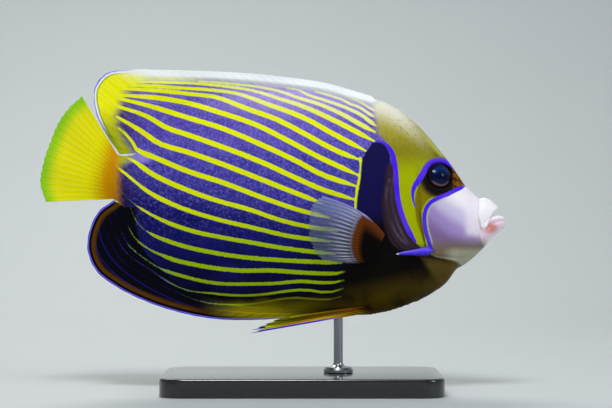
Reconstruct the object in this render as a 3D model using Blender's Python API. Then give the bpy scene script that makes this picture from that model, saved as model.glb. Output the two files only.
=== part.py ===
# Emperor angelfish, adult: a still, life-size model on a plain display stand.
# The head points to +X, the right flank to -Y and the back to +Z; the stand rests on Z = 0.
# Every outline is a list of (X, Z) points in millimetres, seen from the right flank.

import math

import bmesh
import bpy
import numpy as np
from mathutils import Matrix, Vector

# Driving dimensions, in millimetres
MM = 0.001
GAP = 0.3
HALF_GAP = GAP / 2

# Side outline of the fleshy body, without the fins
TOP_LINE = [
    (-83.5, 127.5), (-78, 127), (-73, 128.5), (-66, 136), (-59, 144.5), (-51, 151), (-39, 156.5),
    (-23, 159.5), (-4, 161), (15, 161), (36.5, 160), (53.5, 158), (63.5, 154.5), (76, 146),
    (88, 133), (98, 120), (104.5, 110.5), (111.5, 104),
]
BOTTOM_LINE = [
    (-85.5, 103.5), (-81.5, 101), (-77, 94), (-73.5, 87), (-70.5, 79), (-63.5, 70), (-54.5, 61),
    (-44.5, 54.5), (-31, 49.5), (-15, 46.5), (4, 44.5), (20, 43), (35.5, 42), (47, 41.3),
    (59.5, 42.7), (73.5, 47), (87, 53.5), (95, 60), (99.5, 66), (103.5, 68.3), (108, 71.7),
    (114.3, 77.8),
]
GILL_LINE = [
    (57, 157.2), (61, 141), (63, 125), (61.5, 111.5), (61.5, 99), (64, 88), (69.5, 79),
    (77.5, 73), (88.5, 69.3), (99.5, 66),
]
MOUTH_LINE = [(111.5, 104), (110.5, 96), (111, 87.7), (112.5, 82), (114.3, 77.8)]
STALK_LINE = [(-71, 130.3), (-71.5, 117), (-72.5, 100.5), (-73.5, 87)]
TAIL_LINE = [(-83.5, 127.5), (-84, 119.5), (-85, 111.5), (-85.5, 103.5)]

# Half width of the body along its length, and of the edges that carry the fins
HALF_WIDTH = [
    (-86, 3.6), (-73, 5.2), (-60, 8), (-40, 12), (-10, 15.6), (20, 17.2), (48, 17.8), (66, 17.2),
    (82, 15.6), (95, 13.2), (104, 11), (111, 9), (116, 8.4),
]
TOP_EDGE = [(-84, 0.9), (-73, 1.4), (-60, 2), (-30, 2.6), (15, 2.8), (40, 2.4), (57, 1.4), (75, 1), (115, 1)]
BOTTOM_EDGE = [(-86, 0.9), (-73, 1.4), (-55, 2), (-30, 2.6), (10, 2.8), (35, 2.4), (50, 1.6), (80, 1.2), (115, 1.4)]
WIDEST_LEVEL = 0.44
# Hollow blend between the flank and the foot of the dorsal and the anal fin, which ends at the head
FIN_BLEND = 2.4
TOP_BLEND_ENDS = (42, 60)
BOTTOM_BLEND_ENDS = (16, 34)

# Fins, from the front or the top of each to its other end. The roots of the dorsal and the anal
# fin are X places on the body's outline, and those of the tail fin are Z places on the tail line.
DORSAL_ROOTS = [55, 36.5, 15, -4, -23, -39, -51, -59, -64.5, -68.5, -71, -73]
DORSAL_TIPS = [
    (53.5, 159.4), (28.5, 166.5), (4, 170), (-17.5, 172), (-40, 173), (-61, 173.6), (-77, 173.6),
    (-90, 171.5), (-96, 164), (-95, 149.5), (-89, 137.5), (-79.5, 129),
]
ANAL_ROOTS = [31, 18, 4, -15, -31, -44.5, -54.5, -63.5, -70.5, -73.5, -77, -80.5]
ANAL_TIPS = [
    (29.5, 40.6), (10.5, 39.6), (-9.5, 38.5), (-31, 39), (-50, 42.5), (-68.5, 48.5), (-84.5, 56.5),
    (-95.5, 65.5), (-100, 77.5), (-98.5, 88), (-94, 97), (-87.5, 102),
]
CAUDAL_ROOTS = [127.2, 123.5, 119.5, 115.5, 111.5, 107.5, 103.8]
CAUDAL_TIPS = [
    (-103, 159.5), (-110, 153), (-116, 144.5), (-120.5, 133.5), (-124, 122.5), (-125.5, 112),
    (-122.5, 102.3),
]
# Paired fins: a ray's root and its tip
PECTORAL_GUIDES = [
    ((60, 85), (26.5, 105.5)), ((58.8, 82), (21.5, 101)), ((57.8, 79), (19.5, 91)),
    ((56.8, 76), (20.5, 81)), ((55.8, 73), (26, 72.3)), ((55, 70.5), (37, 69.7)),
]
PELVIC_GUIDES = [
    ((56, 43.3), (-12, 32)), ((54.6, 44.3), (-7, 34.2)), ((53.3, 45.4), (0, 37.2)), ((52, 46.6), (10, 41)),
]
DORSAL_SPINES = 14
DORSAL_SOFT_RAYS = 20
ANAL_SPINES = 3
ANAL_SOFT_RAYS = 20
CAUDAL_RAYS = 17
PECTORAL_RAYS = 16
PELVIC_RAYS = 6
FIN_EDGE = 0.28
RAY_HEIGHT = 0.42
SPINE_HEIGHT = 0.6

# Gill cover: a plate let into the flank, its rear edge lying over the gill opening
OPERCLE_TOP = [(62, 119.5), (65, 123), (70, 124.3), (74.5, 122.5), (77.5, 117.5)]
OPERCLE_REAR = [(62, 119.5), (60, 110), (59.8, 100), (62.3, 88), (68, 78.6), (76.5, 72.3), (85, 70)]
OPERCLE_FRONT = [(77.5, 117.5), (79, 108.5), (79.6, 99), (80.8, 89), (83.5, 81), (87.5, 73)]
OPERCLE_BOTTOM = [(85, 70), (87, 70.8), (87.5, 73)]
OPERCLE_DEPTH = 1.5
OPERCLE_RISE = 0.6

# Head fittings
CHEEK_SPINE_ROOT = (87.5, 75.7)
CHEEK_SPINE_TIP = (66, 74.5)
CHEEK_SPINE_RADIUS = 1.5
EYE_CENTRE = (89.7, 116.6)
EYE_RADIUS = 7.4
EYE_HALF_DEPTH = 5
EYE_BULGE = 2
NOSTRILS = [(99, 115.3), (101.7, 111.3)]
NOSTRIL_RADIUS = 0.75
NOSTRIL_DEPTH = 1.2

# Lips: (X, Z) edges of the upper and the lower lip
UPPER_LIP_TOP = [(111.5, 104), (114.5, 104.4), (118, 103), (120, 101.2), (121.5, 99.8)]
UPPER_LIP_BOTTOM = [(111, 87.9), (115, 88.2), (117.2, 93.8), (119.2, 96.8), (121.5, 99.1)]
LOWER_LIP_TOP = [(111, 87.6), (115.4, 87.7), (117.7, 92), (118.6, 93.9), (121.5, 94.6), (124.8, 94.2)]
LOWER_LIP_BOTTOM = [(114.3, 77.8), (117, 80.5), (120.5, 84), (124, 87)]
LOWER_LIP_FRONT = [(124.8, 94.2), (125.7, 91), (124, 87)]
LIP_SPLIT = 87.75
LIP_HALF_WIDTH = 8.4
LIP_BACK = 108
UPPER_LIP_REACH = 14.2
LOWER_LIP_REACH = 18.2
MOUTH_CENTRE = (116.6, 0, 94.6)
MOUTH_RADII = (4.6, 5, 2.3)
TEETH_A_ROW = 11
TOOTH_LENGTH = 1.1
TOOTH_RADIUS = 0.34

# Stand
BASE_CENTRE_X = 16
BASE_LENGTH = 150
BASE_WIDTH = 86
BASE_HEIGHT = 10
BASE_CORNER = 12
BASE_BEVEL = 1.5
ROD_X = 35.5
ROD_RADIUS = 2.5
ROD_TOP = 49
COLLAR_RADIUS = 8
COLLAR_HEIGHT = 3

# Colours are linear RGB
YELLOW = (0.78, 0.72, 0.02)
VIOLET = (0.06, 0.04, 0.35)
OLIVE = (0.45, 0.4, 0.06)
LILAC = (0.62, 0.5, 0.75)
DARK_BLUE = (0.01, 0.01, 0.08)
BROWN = (0.12, 0.06, 0.01)
PALE_BLUE = (0.35, 0.38, 0.7)
BLUE = (0.08, 0.03, 0.8)
BLACK_LACQUER = (0.01, 0.01, 0.011)
STEEL = (0.55, 0.56, 0.58)


def clear_scene():
    for item in list(bpy.data.objects):
        bpy.data.objects.remove(item, do_unlink=True)


def finish_of(name, colour, roughness, metallic=0.0):
    """A plain material with one colour."""
    material = bpy.data.materials.new(name)
    material.use_nodes = True
    shader = material.node_tree.nodes["Principled BSDF"]
    shader.inputs["Base Color"].default_value = (*colour, 1.0)
    shader.inputs["Roughness"].default_value = roughness
    shader.inputs["Metallic"].default_value = metallic
    return material


def smooth(knots, values, at):
    """A smooth curve through values at knots, read at the given places."""
    knots = np.asarray(knots, float)
    values = np.asarray(values, float)
    at = np.clip(np.asarray(at, float), knots[0], knots[-1])
    slopes = np.gradient(values, knots, axis=0)
    left = np.clip(np.searchsorted(knots, at) - 1, 0, len(knots) - 2)
    step = knots[left + 1] - knots[left]
    t = (at - knots[left]) / step
    if values.ndim > 1:
        t = t[..., None]
        step = step[..., None]
    from_left = (1 + 2 * t) * (1 - t) ** 2 * values[left] + t * (1 - t) ** 2 * step * slopes[left]
    from_right = t * t * (3 - 2 * t) * values[left + 1] + t * t * (t - 1) * step * slopes[left + 1]
    return from_left + from_right


def profile(points, at):
    """Reads a list of (place, value) points as a smooth function."""
    places, values = zip(*points)
    return smooth(places, values, at)


def chords(points):
    """Distance along a polyline at each of its points, starting at 0."""
    steps = np.linalg.norm(np.diff(np.asarray(points, float), axis=0), axis=1)
    return np.concatenate([[0.0], np.cumsum(steps)])


def along(points, fractions):
    """Points at these fractions of the length of the smooth curve through the given points."""
    knots = chords(points)
    dense = smooth(knots, points, np.linspace(0, knots[-1], 200))
    length = chords(dense)
    wanted = np.asarray(fractions) * length[-1]
    return np.stack([np.interp(wanted, length, dense[:, i]) for i in range(2)], axis=-1)


def stretch(line, start, end, fractions):
    """Points along the stretch of an outline between two X places."""
    places = np.linspace(start, end, 200)
    dense = np.stack([places, profile(line, places)], axis=-1)
    length = chords(dense)
    wanted = np.asarray(fractions) * length[-1]
    return np.stack([np.interp(wanted, length, dense[:, i]) for i in range(2)], axis=-1)


def even(count):
    return np.linspace(0, 1, count + 1)


def rounded(count, share=0.6):
    """Fractions from 0 to 1 that lie closer together near both ends."""
    plain = even(count)
    return (1 - share) * plain + share * (0.5 - 0.5 * np.cos(math.pi * plain))


def patch(first, last, top, bottom, u, v):
    """A grid over four edges: first and last run downwards, top and bottom run from first to last."""
    u = u[:, None, None]
    v = v[None, :, None]
    across = (1 - v) * top[:, None] + v * bottom[:, None]
    down = (1 - u) * first[None] + u * last[None]
    corners = (1 - u) * ((1 - v) * top[0] + v * bottom[0]) + u * ((1 - v) * top[-1] + v * bottom[-1])
    return across + down - corners


def draw_in(grid, sides, amount=HALF_GAP):
    """Moves the named edges of a grid inwards, square to themselves. A negative amount moves them out."""
    moved = grid.copy()
    edges = {
        "first": (np.s_[0, :], np.s_[1, :]),
        "last": (np.s_[-1, :], np.s_[-2, :]),
        "top": (np.s_[:, 0], np.s_[:, 1]),
        "bottom": (np.s_[:, -1], np.s_[:, -2]),
    }
    for side in sides:
        edge, inner = edges[side]
        line = grid[edge]
        tangent = np.gradient(line, axis=0)
        normal = np.stack([-tangent[:, 1], tangent[:, 0]], axis=-1)
        normal /= np.maximum(np.linalg.norm(normal, axis=1, keepdims=True), 1e-9)
        middle = len(line) // 2
        if np.dot(normal[middle], grid[inner][middle] - line[middle]) < 0:
            normal = -normal
        moved[edge] += normal * amount
    return moved


def edge_half_width(x, z):
    """Half width of the body's upper or lower edge, whichever is nearer."""
    middle = (profile(TOP_LINE, x) + profile(BOTTOM_LINE, x)) / 2
    return np.where(z > middle, profile(TOP_EDGE, x), profile(BOTTOM_EDGE, x))


def half_width(x, z):
    """Half width of the body at a point of its side view."""
    top = profile(TOP_LINE, x)
    bottom = profile(BOTTOM_LINE, x)
    middle = bottom + (top - bottom) * WIDEST_LEVEL
    above = z > middle
    height = np.where(above, top - middle, middle - bottom)
    level = np.clip(np.abs(z - middle) / height, 0, 1)
    fullness = np.interp(x, [-60, 40, 90], [0.78, 0.66, 0.56])
    top_blend = np.interp(x, TOP_BLEND_ENDS, [FIN_BLEND, 0])
    blend = np.where(above, top_blend, np.interp(x, BOTTOM_BLEND_ENDS, [FIN_BLEND, 0])) + 1e-6
    depth = (1 - level) * height
    swell = (1 - level**2.1) ** fullness * depth / (depth + blend) * (height + blend) / height
    edge = edge_half_width(x, z)
    return edge + (profile(HALF_WIDTH, x) - edge) * swell


def add_mesh(name, points, faces, material):
    """Makes an object from points in millimetres and its faces."""
    mesh = bpy.data.meshes.new(name)
    mesh.from_pydata([tuple(float(c) * MM for c in p) for p in points], [], faces)
    work = bmesh.new()
    work.from_mesh(mesh)
    bmesh.ops.recalc_face_normals(work, faces=work.faces)
    work.to_mesh(mesh)
    work.free()
    mesh.shade_smooth()
    mesh.set_sharp_from_angle(angle=math.radians(40))
    item = bpy.data.objects.new(name, mesh)
    bpy.context.scene.collection.objects.link(item)
    if material:
        mesh.materials.append(material)
    return item


def slab(name, grid, right, left, material):
    """A closed solid over a side-view grid, from Y = right to Y = left, cut into like triangles on both sides."""
    columns, rows = grid.shape[:2]
    right = np.broadcast_to(right, (columns, rows))
    left = np.broadcast_to(left, (columns, rows))
    points = [(*(grid[i, j, :1]), y[i, j], grid[i, j, 1]) for y in (right, left)
              for i in range(columns) for j in range(rows)]
    across = columns * rows

    def at(i, j):
        return i * rows + j

    faces = []
    for i in range(columns - 1):
        for j in range(rows - 1):
            a, b, c, d = at(i, j), at(i + 1, j), at(i + 1, j + 1), at(i, j + 1)
            for face in ((a, b, c), (a, c, d)):
                faces.append(face)
                faces.append(tuple(across + k for k in reversed(face)))
    rim = [at(i, 0) for i in range(columns)]
    rim += [at(columns - 1, j) for j in range(1, rows)]
    rim += [at(i, rows - 1) for i in range(columns - 2, -1, -1)]
    rim += [at(0, j) for j in range(rows - 2, 0, -1)]
    for a, b in zip(rim, rim[1:] + rim[:1]):
        faces.append((a, a + across, b + across))
        faces.append((a, b + across, b))
    return add_mesh(name, points, faces, material)


def body_slab(name, grid, material):
    """A solid that fills the body over a side-view grid."""
    half = half_width(grid[..., 0], grid[..., 1])
    return slab(name, grid, -half, half, material)


def ellipsoid(name, centre, radii, axis=(0, 0, 1), material=None, segments=18, rings=10):
    """An ellipsoid whose third radius lies along the given axis."""
    work = bmesh.new()
    bmesh.ops.create_uvsphere(work, u_segments=segments, v_segments=rings, radius=MM)
    turn = Vector(axis).to_track_quat("Z", "Y").to_matrix().to_4x4()
    place = Matrix.Translation(Vector(centre) * MM)
    bmesh.ops.transform(work, matrix=place @ turn @ Matrix.Diagonal((*radii, 1)), verts=work.verts)
    mesh = bpy.data.meshes.new(name)
    work.to_mesh(mesh)
    work.free()
    mesh.shade_smooth()
    item = bpy.data.objects.new(name, mesh)
    bpy.context.scene.collection.objects.link(item)
    if material:
        mesh.materials.append(material)
    return item


def on_flank(x, z, side):
    """The point of the body's surface at (x, z), and the way out of the body there."""
    step = 0.5
    y, ahead, behind, above, below = half_width(
        np.array([x, x + step, x - step, x, x]), np.array([z, z, z, z + step, z - step])
    )
    outwards = Vector((behind - ahead, side * 2 * step, below - above)).normalized()
    return Vector((x, side * y, z)), outwards


def as_cutter(item):
    item.hide_render = True
    item.display_type = "WIRE"
    return item


def combine(item, other, operation="DIFFERENCE"):
    """Takes another shape out of a solid, or joins it on, as a modifier that stays."""
    modifier = item.modifiers.new(operation.lower() + "_" + other.name, "BOOLEAN")
    modifier.operation = operation
    modifier.solver = "EXACT"
    modifier.object = as_cutter(other)


def body(materials):
    """Head, torso and tail stalk: one body, parted at the gill opening and ahead of the tail."""
    downwards = rounded(16)
    gill = along(GILL_LINE, downwards)
    mouth = along(MOUTH_LINE, downwards)
    stalk = along(STALK_LINE, downwards)
    tail = along(TAIL_LINE, downwards)

    u = even(20)
    head = patch(gill, mouth, stretch(TOP_LINE, 57, 111.5, u), stretch(BOTTOM_LINE, 99.5, 114.3, u), u, downwards)
    u = even(26)
    torso = patch(stalk, gill, stretch(TOP_LINE, -71, 57, u), stretch(BOTTOM_LINE, -73.5, 99.5, u), u, downwards)
    u = even(4)
    stem = patch(tail, stalk, stretch(TOP_LINE, -83.5, -71, u), stretch(BOTTOM_LINE, -85.5, -73.5, u), u, downwards)
    return (
        body_slab("head", draw_in(head, ["first", "last"]), materials["head"]),
        body_slab("torso", draw_in(torso, ["first", "last", "top", "bottom"]), materials["flank"]),
        body_slab("tail_stalk", draw_in(stem, ["first", "last", "top", "bottom"]), materials["tail"]),
    )


def fin_grid(roots, tips, rays, rows, seat=None):
    """A grid with one column on each ray and one on the membrane between two rays.

    The roots are points, or places that seat turns into points on the line that the fin grows from.
    """
    roots = np.asarray(roots, float)
    knots = roots if seat is None else seat(roots)
    measure = (chords(knots) + chords(tips)) / 2
    places = np.linspace(0, measure[-1], 2 * rays - 1)
    root = smooth(measure, roots, places)
    if seat is not None:
        root = seat(root)
    root = root[:, None]
    tip = smooth(measure, tips, places)[:, None]
    v = even(rows)[None, :, None]
    return root + (tip - root) * v


def on_back(x):
    return np.stack([x, profile(TOP_LINE, x)], axis=-1)


def on_belly(x):
    return np.stack([x, profile(BOTTOM_LINE, x)], axis=-1)


def on_tail(z):
    upwards = [(height, x) for x, height in reversed(TAIL_LINE)]
    return np.stack([profile(upwards, z), z], axis=-1)


def rays_of(rays, spines, rows):
    """Height of the ray ridges over a fin's grid: spines stay stout to the tip, soft rays fade out."""
    column = np.arange(2 * rays - 1)
    on_ray = (column % 2 == 0).astype(float)
    spiny = column // 2 < spines
    v = even(rows)[None]
    soft = RAY_HEIGHT * (1 - 0.75 * v)
    stout = SPINE_HEIGHT * (1 - 0.6 * v)
    return on_ray[:, None] * np.where(spiny[:, None], stout, soft)


def notch_membranes(grid, spines, share):
    """Draws the membrane between two spines back from the line of their tips."""
    for column in range(1, 2 * spines, 2):
        grid[column, -1] += (grid[column, -2] - grid[column, -1]) * share
    return grid


def median_fin(name, grid, rays, spines, rows, material):
    """The dorsal or the anal fin: thick and fleshy at the body's edge, thin at its own."""
    root = edge_half_width(grid[:, :1, 0], grid[:, :1, 1])
    v = even(rows)[None]
    half = FIN_EDGE + (root - FIN_EDGE) * (1 - v) ** 1.5 + rays_of(rays, spines, rows)
    half[:, 0] = root[:, 0]
    grid = draw_in(notch_membranes(grid, spines, 0.3), ["top"])
    return slab(name, grid, -half, half, material)


def caudal_fin(material):
    rows = 6
    grid = fin_grid(CAUDAL_ROOTS, CAUDAL_TIPS, CAUDAL_RAYS, rows, on_tail)
    root = half_width(grid[:, :1, 0], grid[:, :1, 1])
    v = even(rows)[None]
    half = FIN_EDGE + (root - FIN_EDGE) * (1 - v) ** 2.2 + rays_of(CAUDAL_RAYS, 0, rows)
    half[:, 0] = root[:, 0]
    return slab("caudal_fin", draw_in(grid, ["top"]), -half, half, material)


def pectoral_fin(name, side, material):
    """A fleshy lobe on the flank that fans out into a clear, rayed blade standing off the body."""
    rows = 8
    grid = fin_grid(*zip(*PECTORAL_GUIDES), PECTORAL_RAYS, rows)
    v = even(rows)[None]
    across = np.linspace(-1, 1, len(grid))[:, None]
    lobe = np.sin(math.pi * np.clip(0.12 + v / 0.48, 0, 1)) ** 0.8 * np.sqrt(1 - 0.8 * across**2)
    thickness = 0.6 + 2.4 * lobe + rays_of(PECTORAL_RAYS, 0, rows) * np.clip(4 * v - 1, 0, 1)
    inner = half_width(grid[..., 0], grid[..., 1]) + GAP + 8.5 * v**1.6
    outer = inner + thickness
    return slab(name, grid, side * outer, side * inner, material)


def pelvic_fin(name, side, material):
    """A narrow folded fan that trails under the belly and spreads a little from its fellow."""
    rows = 12
    grid = fin_grid(*zip(*PELVIC_GUIDES), PELVIC_RAYS, rows)
    v = even(rows)[None]
    surface = half_width(grid[..., 0], grid[..., 1]) + GAP
    spread = 4.4 + 9.5 * v
    inner = np.maximum(surface, spread)
    outer = inner + 0.6 + 3 * np.sqrt(v + 0.01) * (1 - v) ** 3 + rays_of(PELVIC_RAYS, 1, rows)
    return slab(name, grid, side * outer, side * inner, material)


def gill_cover(name, side, material):
    """The gill cover and the cutter that lets it into the head and the shoulder."""
    u, v = even(8), even(12)
    rear = along(OPERCLE_REAR, v)
    front = along(OPERCLE_FRONT, v)
    grid = patch(rear, front, along(OPERCLE_TOP, u), along(OPERCLE_BOTTOM, u), u, v)
    surface = half_width(grid[..., 0], grid[..., 1])
    rise = OPERCLE_RISE * (1 - u[:, None])
    plate = slab(name, grid, side * (surface + rise), side * (surface - OPERCLE_DEPTH), material)
    wide = draw_in(grid, ["first", "last", "top", "bottom"], -GAP)
    recess = side * (half_width(wide[..., 0], wide[..., 1]) - OPERCLE_DEPTH - GAP)
    return plate, slab(name + "_recess", wide, side * (surface + 4), recess, None)


def cheek_spine(name, side, material, grow=0.0):
    """The strong spine at the lower corner of the cheek, pointing back over the gill cover."""
    sections, sides = 7, 10
    (x0, z0), (x1, z1) = CHEEK_SPINE_ROOT, CHEEK_SPINE_TIP
    start = half_width(np.array(x0), np.array(z0)) + 0.2
    end = half_width(np.array(x1), np.array(z1)) + OPERCLE_RISE + 1.6
    points = []
    for k in range(sections + 1):
        t = k / sections
        radius = CHEEK_SPINE_RADIUS * (1 - t) ** 0.55 + 0.12 + grow
        centre = (x0 + (x1 - x0) * t, start + (end - start) * t + 1.1 * math.sin(math.pi * t), z0 + (z1 - z0) * t)
        for s in range(sides):
            angle = 2 * math.pi * s / sides
            points.append((centre[0], side * (centre[1] + radius * math.sin(angle)), centre[2] + radius * math.cos(angle)))
    faces = [
        (k * sides + s, k * sides + (s + 1) % sides, (k + 1) * sides + (s + 1) % sides, (k + 1) * sides + s)
        for k in range(sections) for s in range(sides)
    ]
    faces.append(tuple(range(sides)))
    faces.append(tuple(sections * sides + s for s in range(sides)))
    return add_mesh(name, points, faces, material)


def eye(side_name, side, material):
    """An eyeball that faces squarely out of the head, and the shape of its socket."""
    surface, outwards = on_flank(*EYE_CENTRE, side)
    centre = surface + outwards * (EYE_BULGE - EYE_HALF_DEPTH)
    radii = (EYE_RADIUS, EYE_RADIUS, EYE_HALF_DEPTH)
    ellipsoid("eye_" + side_name, centre, radii, outwards, material)
    wider = [radius + GAP for radius in radii]
    return ellipsoid("socket_" + side_name, centre, wider, outwards)


def lip_width(grid, reach):
    """Half width of a lip: a rounded horseshoe from above, rolled over at its upper and lower edge."""
    out = np.clip((grid[..., 0] - LIP_BACK) / reach, 0, 0.985)
    columns, rows = grid.shape[:2]
    level = 2 * rounded(rows - 1) - 1
    roll = 0.42 + 0.58 * np.sqrt(1 - level**2)
    lip = LIP_HALF_WIDTH * np.sqrt(1 - out**2) * roll[None]
    free = np.clip(1.7 * even(columns - 1), 0, 1)[:, None]
    return lip * free + half_width(grid[..., 0], grid[..., 1]) * (1 - free)


def lips(material):
    u, v = even(9), rounded(8)
    tip = np.array([UPPER_LIP_TOP[-1], UPPER_LIP_BOTTOM[-1]], float)
    back = along([p for p in MOUTH_LINE if p[1] > LIP_SPLIT] + [UPPER_LIP_BOTTOM[0]], v)
    upper = patch(back, tip[0] + (tip[1] - tip[0]) * v[:, None], along(UPPER_LIP_TOP, u),
                  along(UPPER_LIP_BOTTOM, u), u, v)
    upper = draw_in(upper, ["first", "bottom"])
    half = lip_width(upper, UPPER_LIP_REACH)
    upper_lip = slab("upper_lip", upper, -half, half, material)

    back = along([LOWER_LIP_TOP[0]] + [p for p in MOUTH_LINE if p[1] < LIP_SPLIT - 1], v)
    lower = patch(back, along(LOWER_LIP_FRONT, v), along(LOWER_LIP_TOP, u), along(LOWER_LIP_BOTTOM, u), u, v)
    lower = draw_in(lower, ["first", "top"])
    half = lip_width(lower, LOWER_LIP_REACH)
    lower_lip = slab("lower_lip", lower, -half, half, material)

    hollow = ellipsoid("mouth_hollow", MOUTH_CENTRE, MOUTH_RADII)
    combine(upper_lip, hollow)
    combine(lower_lip, hollow)
    combine(upper_lip, teeth("upper_teeth", UPPER_LIP_BOTTOM, 11.4, -1), "UNION")
    combine(lower_lip, teeth("lower_teeth", LOWER_LIP_TOP, 14.2, 1), "UNION")


def teeth(name, lip_edge, reach, upwards):
    """A short row of pegs across the front of a lip's inner edge, their roots sunk in the lip."""
    points, faces = [], []
    sides = 5
    for k in range(TEETH_A_ROW):
        across = math.radians(30) * (2 * k / (TEETH_A_ROW - 1) - 1)
        x = LIP_BACK + reach * math.cos(across)
        y = LIP_HALF_WIDTH * 0.9 * math.sin(across)
        root = float(profile(lip_edge, x)) - upwards * 0.8
        tip = (x + 0.3, y, root + upwards * (0.8 + TOOTH_LENGTH))
        first = len(points)
        for s in range(sides):
            angle = 2 * math.pi * s / sides
            points.append((x + TOOTH_RADIUS * math.cos(angle), y + TOOTH_RADIUS * math.sin(angle), root))
        points.append(tip)
        faces.append(tuple(range(first, first + sides)))
        faces += [(first + s, first + (s + 1) % sides, first + sides) for s in range(sides)]
    return add_mesh(name, points, faces, None)


def stand(materials):
    """A flat lacquered base and one steel rod with a turned collar, and the cutter for the rod's socket."""
    outline = []
    for corner, (sx, sy) in enumerate([(1, 1), (-1, 1), (-1, -1), (1, -1)]):
        for k in range(7):
            angle = math.pi / 2 * (corner + k / 6)
            x = BASE_CENTRE_X + sx * (BASE_LENGTH / 2 - BASE_CORNER) + BASE_CORNER * math.cos(angle)
            y = sy * (BASE_WIDTH / 2 - BASE_CORNER) + BASE_CORNER * math.sin(angle)
            outline.append((x, y))
    count = len(outline)
    points = [(x, y, 0) for x, y in outline] + [(x, y, BASE_HEIGHT) for x, y in outline]
    faces = [tuple(range(count)), tuple(range(count, 2 * count))]
    faces += [(k, (k + 1) % count, count + (k + 1) % count, count + k) for k in range(count)]
    base = add_mesh("stand_base", points, faces, materials["lacquer"])
    bevel = base.modifiers.new("edge", "BEVEL")
    bevel.width = BASE_BEVEL * MM
    bevel.segments = 2
    bevel.limit_method = "ANGLE"

    foot = BASE_HEIGHT + 0.3
    turned = [
        (COLLAR_RADIUS, foot), (COLLAR_RADIUS, foot + COLLAR_HEIGHT * 0.6),
        (COLLAR_RADIUS - 1, foot + COLLAR_HEIGHT), (ROD_RADIUS + 1, foot + COLLAR_HEIGHT + 0.6),
        (ROD_RADIUS, foot + COLLAR_HEIGHT + 2), (ROD_RADIUS, ROD_TOP),
    ]
    lathe("stand_rod", turned, materials["steel"])
    socket = [(ROD_RADIUS + 0.3, 30), (ROD_RADIUS + 0.3, ROD_TOP + 0.3)]
    return lathe("rod_socket", socket, None)


def lathe(name, outline, material, sides=16):
    """Turns an outline of (radius, Z) points around the rod's axis."""
    points = []
    for radius, z in outline:
        for s in range(sides):
            angle = 2 * math.pi * s / sides
            points.append((ROD_X + radius * math.cos(angle), radius * math.sin(angle), z))
    faces = [
        (k * sides + s, k * sides + (s + 1) % sides, (k + 1) * sides + (s + 1) % sides, (k + 1) * sides + s)
        for k in range(len(outline) - 1) for s in range(sides)
    ]
    faces.append(tuple(range(sides)))
    faces.append(tuple((len(outline) - 1) * sides + s for s in range(sides)))
    return add_mesh(name, points, faces, material)


def main():
    clear_scene()
    materials = {
        "head": finish_of("head_skin", OLIVE, 0.4),
        "flank": finish_of("flank_skin", VIOLET, 0.4),
        "gill": finish_of("gill_skin", DARK_BLUE, 0.4),
        "tail": finish_of("tail_skin", YELLOW, 0.4),
        "dorsal": finish_of("dorsal_skin", VIOLET, 0.4),
        "anal": finish_of("anal_skin", DARK_BLUE, 0.4),
        "pectoral": finish_of("pectoral_skin", PALE_BLUE, 0.35),
        "pelvic": finish_of("pelvic_skin", BROWN, 0.4),
        "lips": finish_of("lip_skin", LILAC, 0.45),
        "spine": finish_of("spine_bone", BLUE, 0.3),
        "eye": finish_of("eye_lens", DARK_BLUE, 0.05),
        "lacquer": finish_of("black_lacquer", BLACK_LACQUER, 0.25),
        "steel": finish_of("polished_steel", STEEL, 0.2, 1.0),
    }
    head, torso, _ = body(materials)
    rays = DORSAL_SPINES + DORSAL_SOFT_RAYS
    grid = fin_grid(DORSAL_ROOTS, DORSAL_TIPS, rays, 5, on_back)
    median_fin("dorsal_fin", grid, rays, DORSAL_SPINES, 5, materials["dorsal"])
    rays = ANAL_SPINES + ANAL_SOFT_RAYS
    grid = fin_grid(ANAL_ROOTS, ANAL_TIPS, rays, 5, on_belly)
    median_fin("anal_fin", grid, rays, ANAL_SPINES, 5, materials["anal"])
    caudal_fin(materials["tail"])
    lips(materials["lips"])
    for side_name, side in (("right", -1), ("left", 1)):
        pectoral_fin("pectoral_fin_" + side_name, side, materials["pectoral"])
        pelvic_fin("pelvic_fin_" + side_name, side, materials["pelvic"])
        plate, recess = gill_cover("gill_cover_" + side_name, side, materials["gill"])
        cheek_spine("cheek_spine_" + side_name, side, materials["spine"])
        sheath = cheek_spine("spine_room_" + side_name, side, None, GAP)
        socket = eye(side_name, side, materials["eye"])
        for shape in (recess, sheath, socket):
            combine(head, shape)
        combine(torso, recess)
        combine(torso, sheath)
        combine(plate, sheath)
        for number, (x, z) in enumerate(NOSTRILS, 1):
            surface, outwards = on_flank(x, z, side)
            radii = (NOSTRIL_RADIUS, NOSTRIL_RADIUS, NOSTRIL_DEPTH)
            pit = ellipsoid(f"nostril_{side_name}_{number}", surface, radii, outwards, None, 8, 6)
            combine(head, pit)
    combine(torso, stand(materials))


main()
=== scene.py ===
import math
import re

import bmesh
import bpy
import numpy as np
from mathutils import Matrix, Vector


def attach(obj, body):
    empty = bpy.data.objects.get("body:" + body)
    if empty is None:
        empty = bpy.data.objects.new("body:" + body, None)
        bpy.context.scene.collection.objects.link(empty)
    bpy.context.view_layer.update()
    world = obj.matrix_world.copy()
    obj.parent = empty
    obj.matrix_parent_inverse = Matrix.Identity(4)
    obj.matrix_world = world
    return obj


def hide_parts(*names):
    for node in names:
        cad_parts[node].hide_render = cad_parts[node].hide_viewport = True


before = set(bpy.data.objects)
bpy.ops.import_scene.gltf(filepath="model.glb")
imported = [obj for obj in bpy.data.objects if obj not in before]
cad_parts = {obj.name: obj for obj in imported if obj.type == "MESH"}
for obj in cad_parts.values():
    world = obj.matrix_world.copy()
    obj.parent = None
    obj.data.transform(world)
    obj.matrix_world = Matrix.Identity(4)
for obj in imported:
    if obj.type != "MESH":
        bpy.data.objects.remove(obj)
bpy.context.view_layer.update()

# Emperor angelfish on a display stand. The head points to +X, the right flank to -Y.
# Shapes are worked out in millimetres, seen from the side as X and Z, and scaled as a mesh is made.
mm = 0.001
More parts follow.
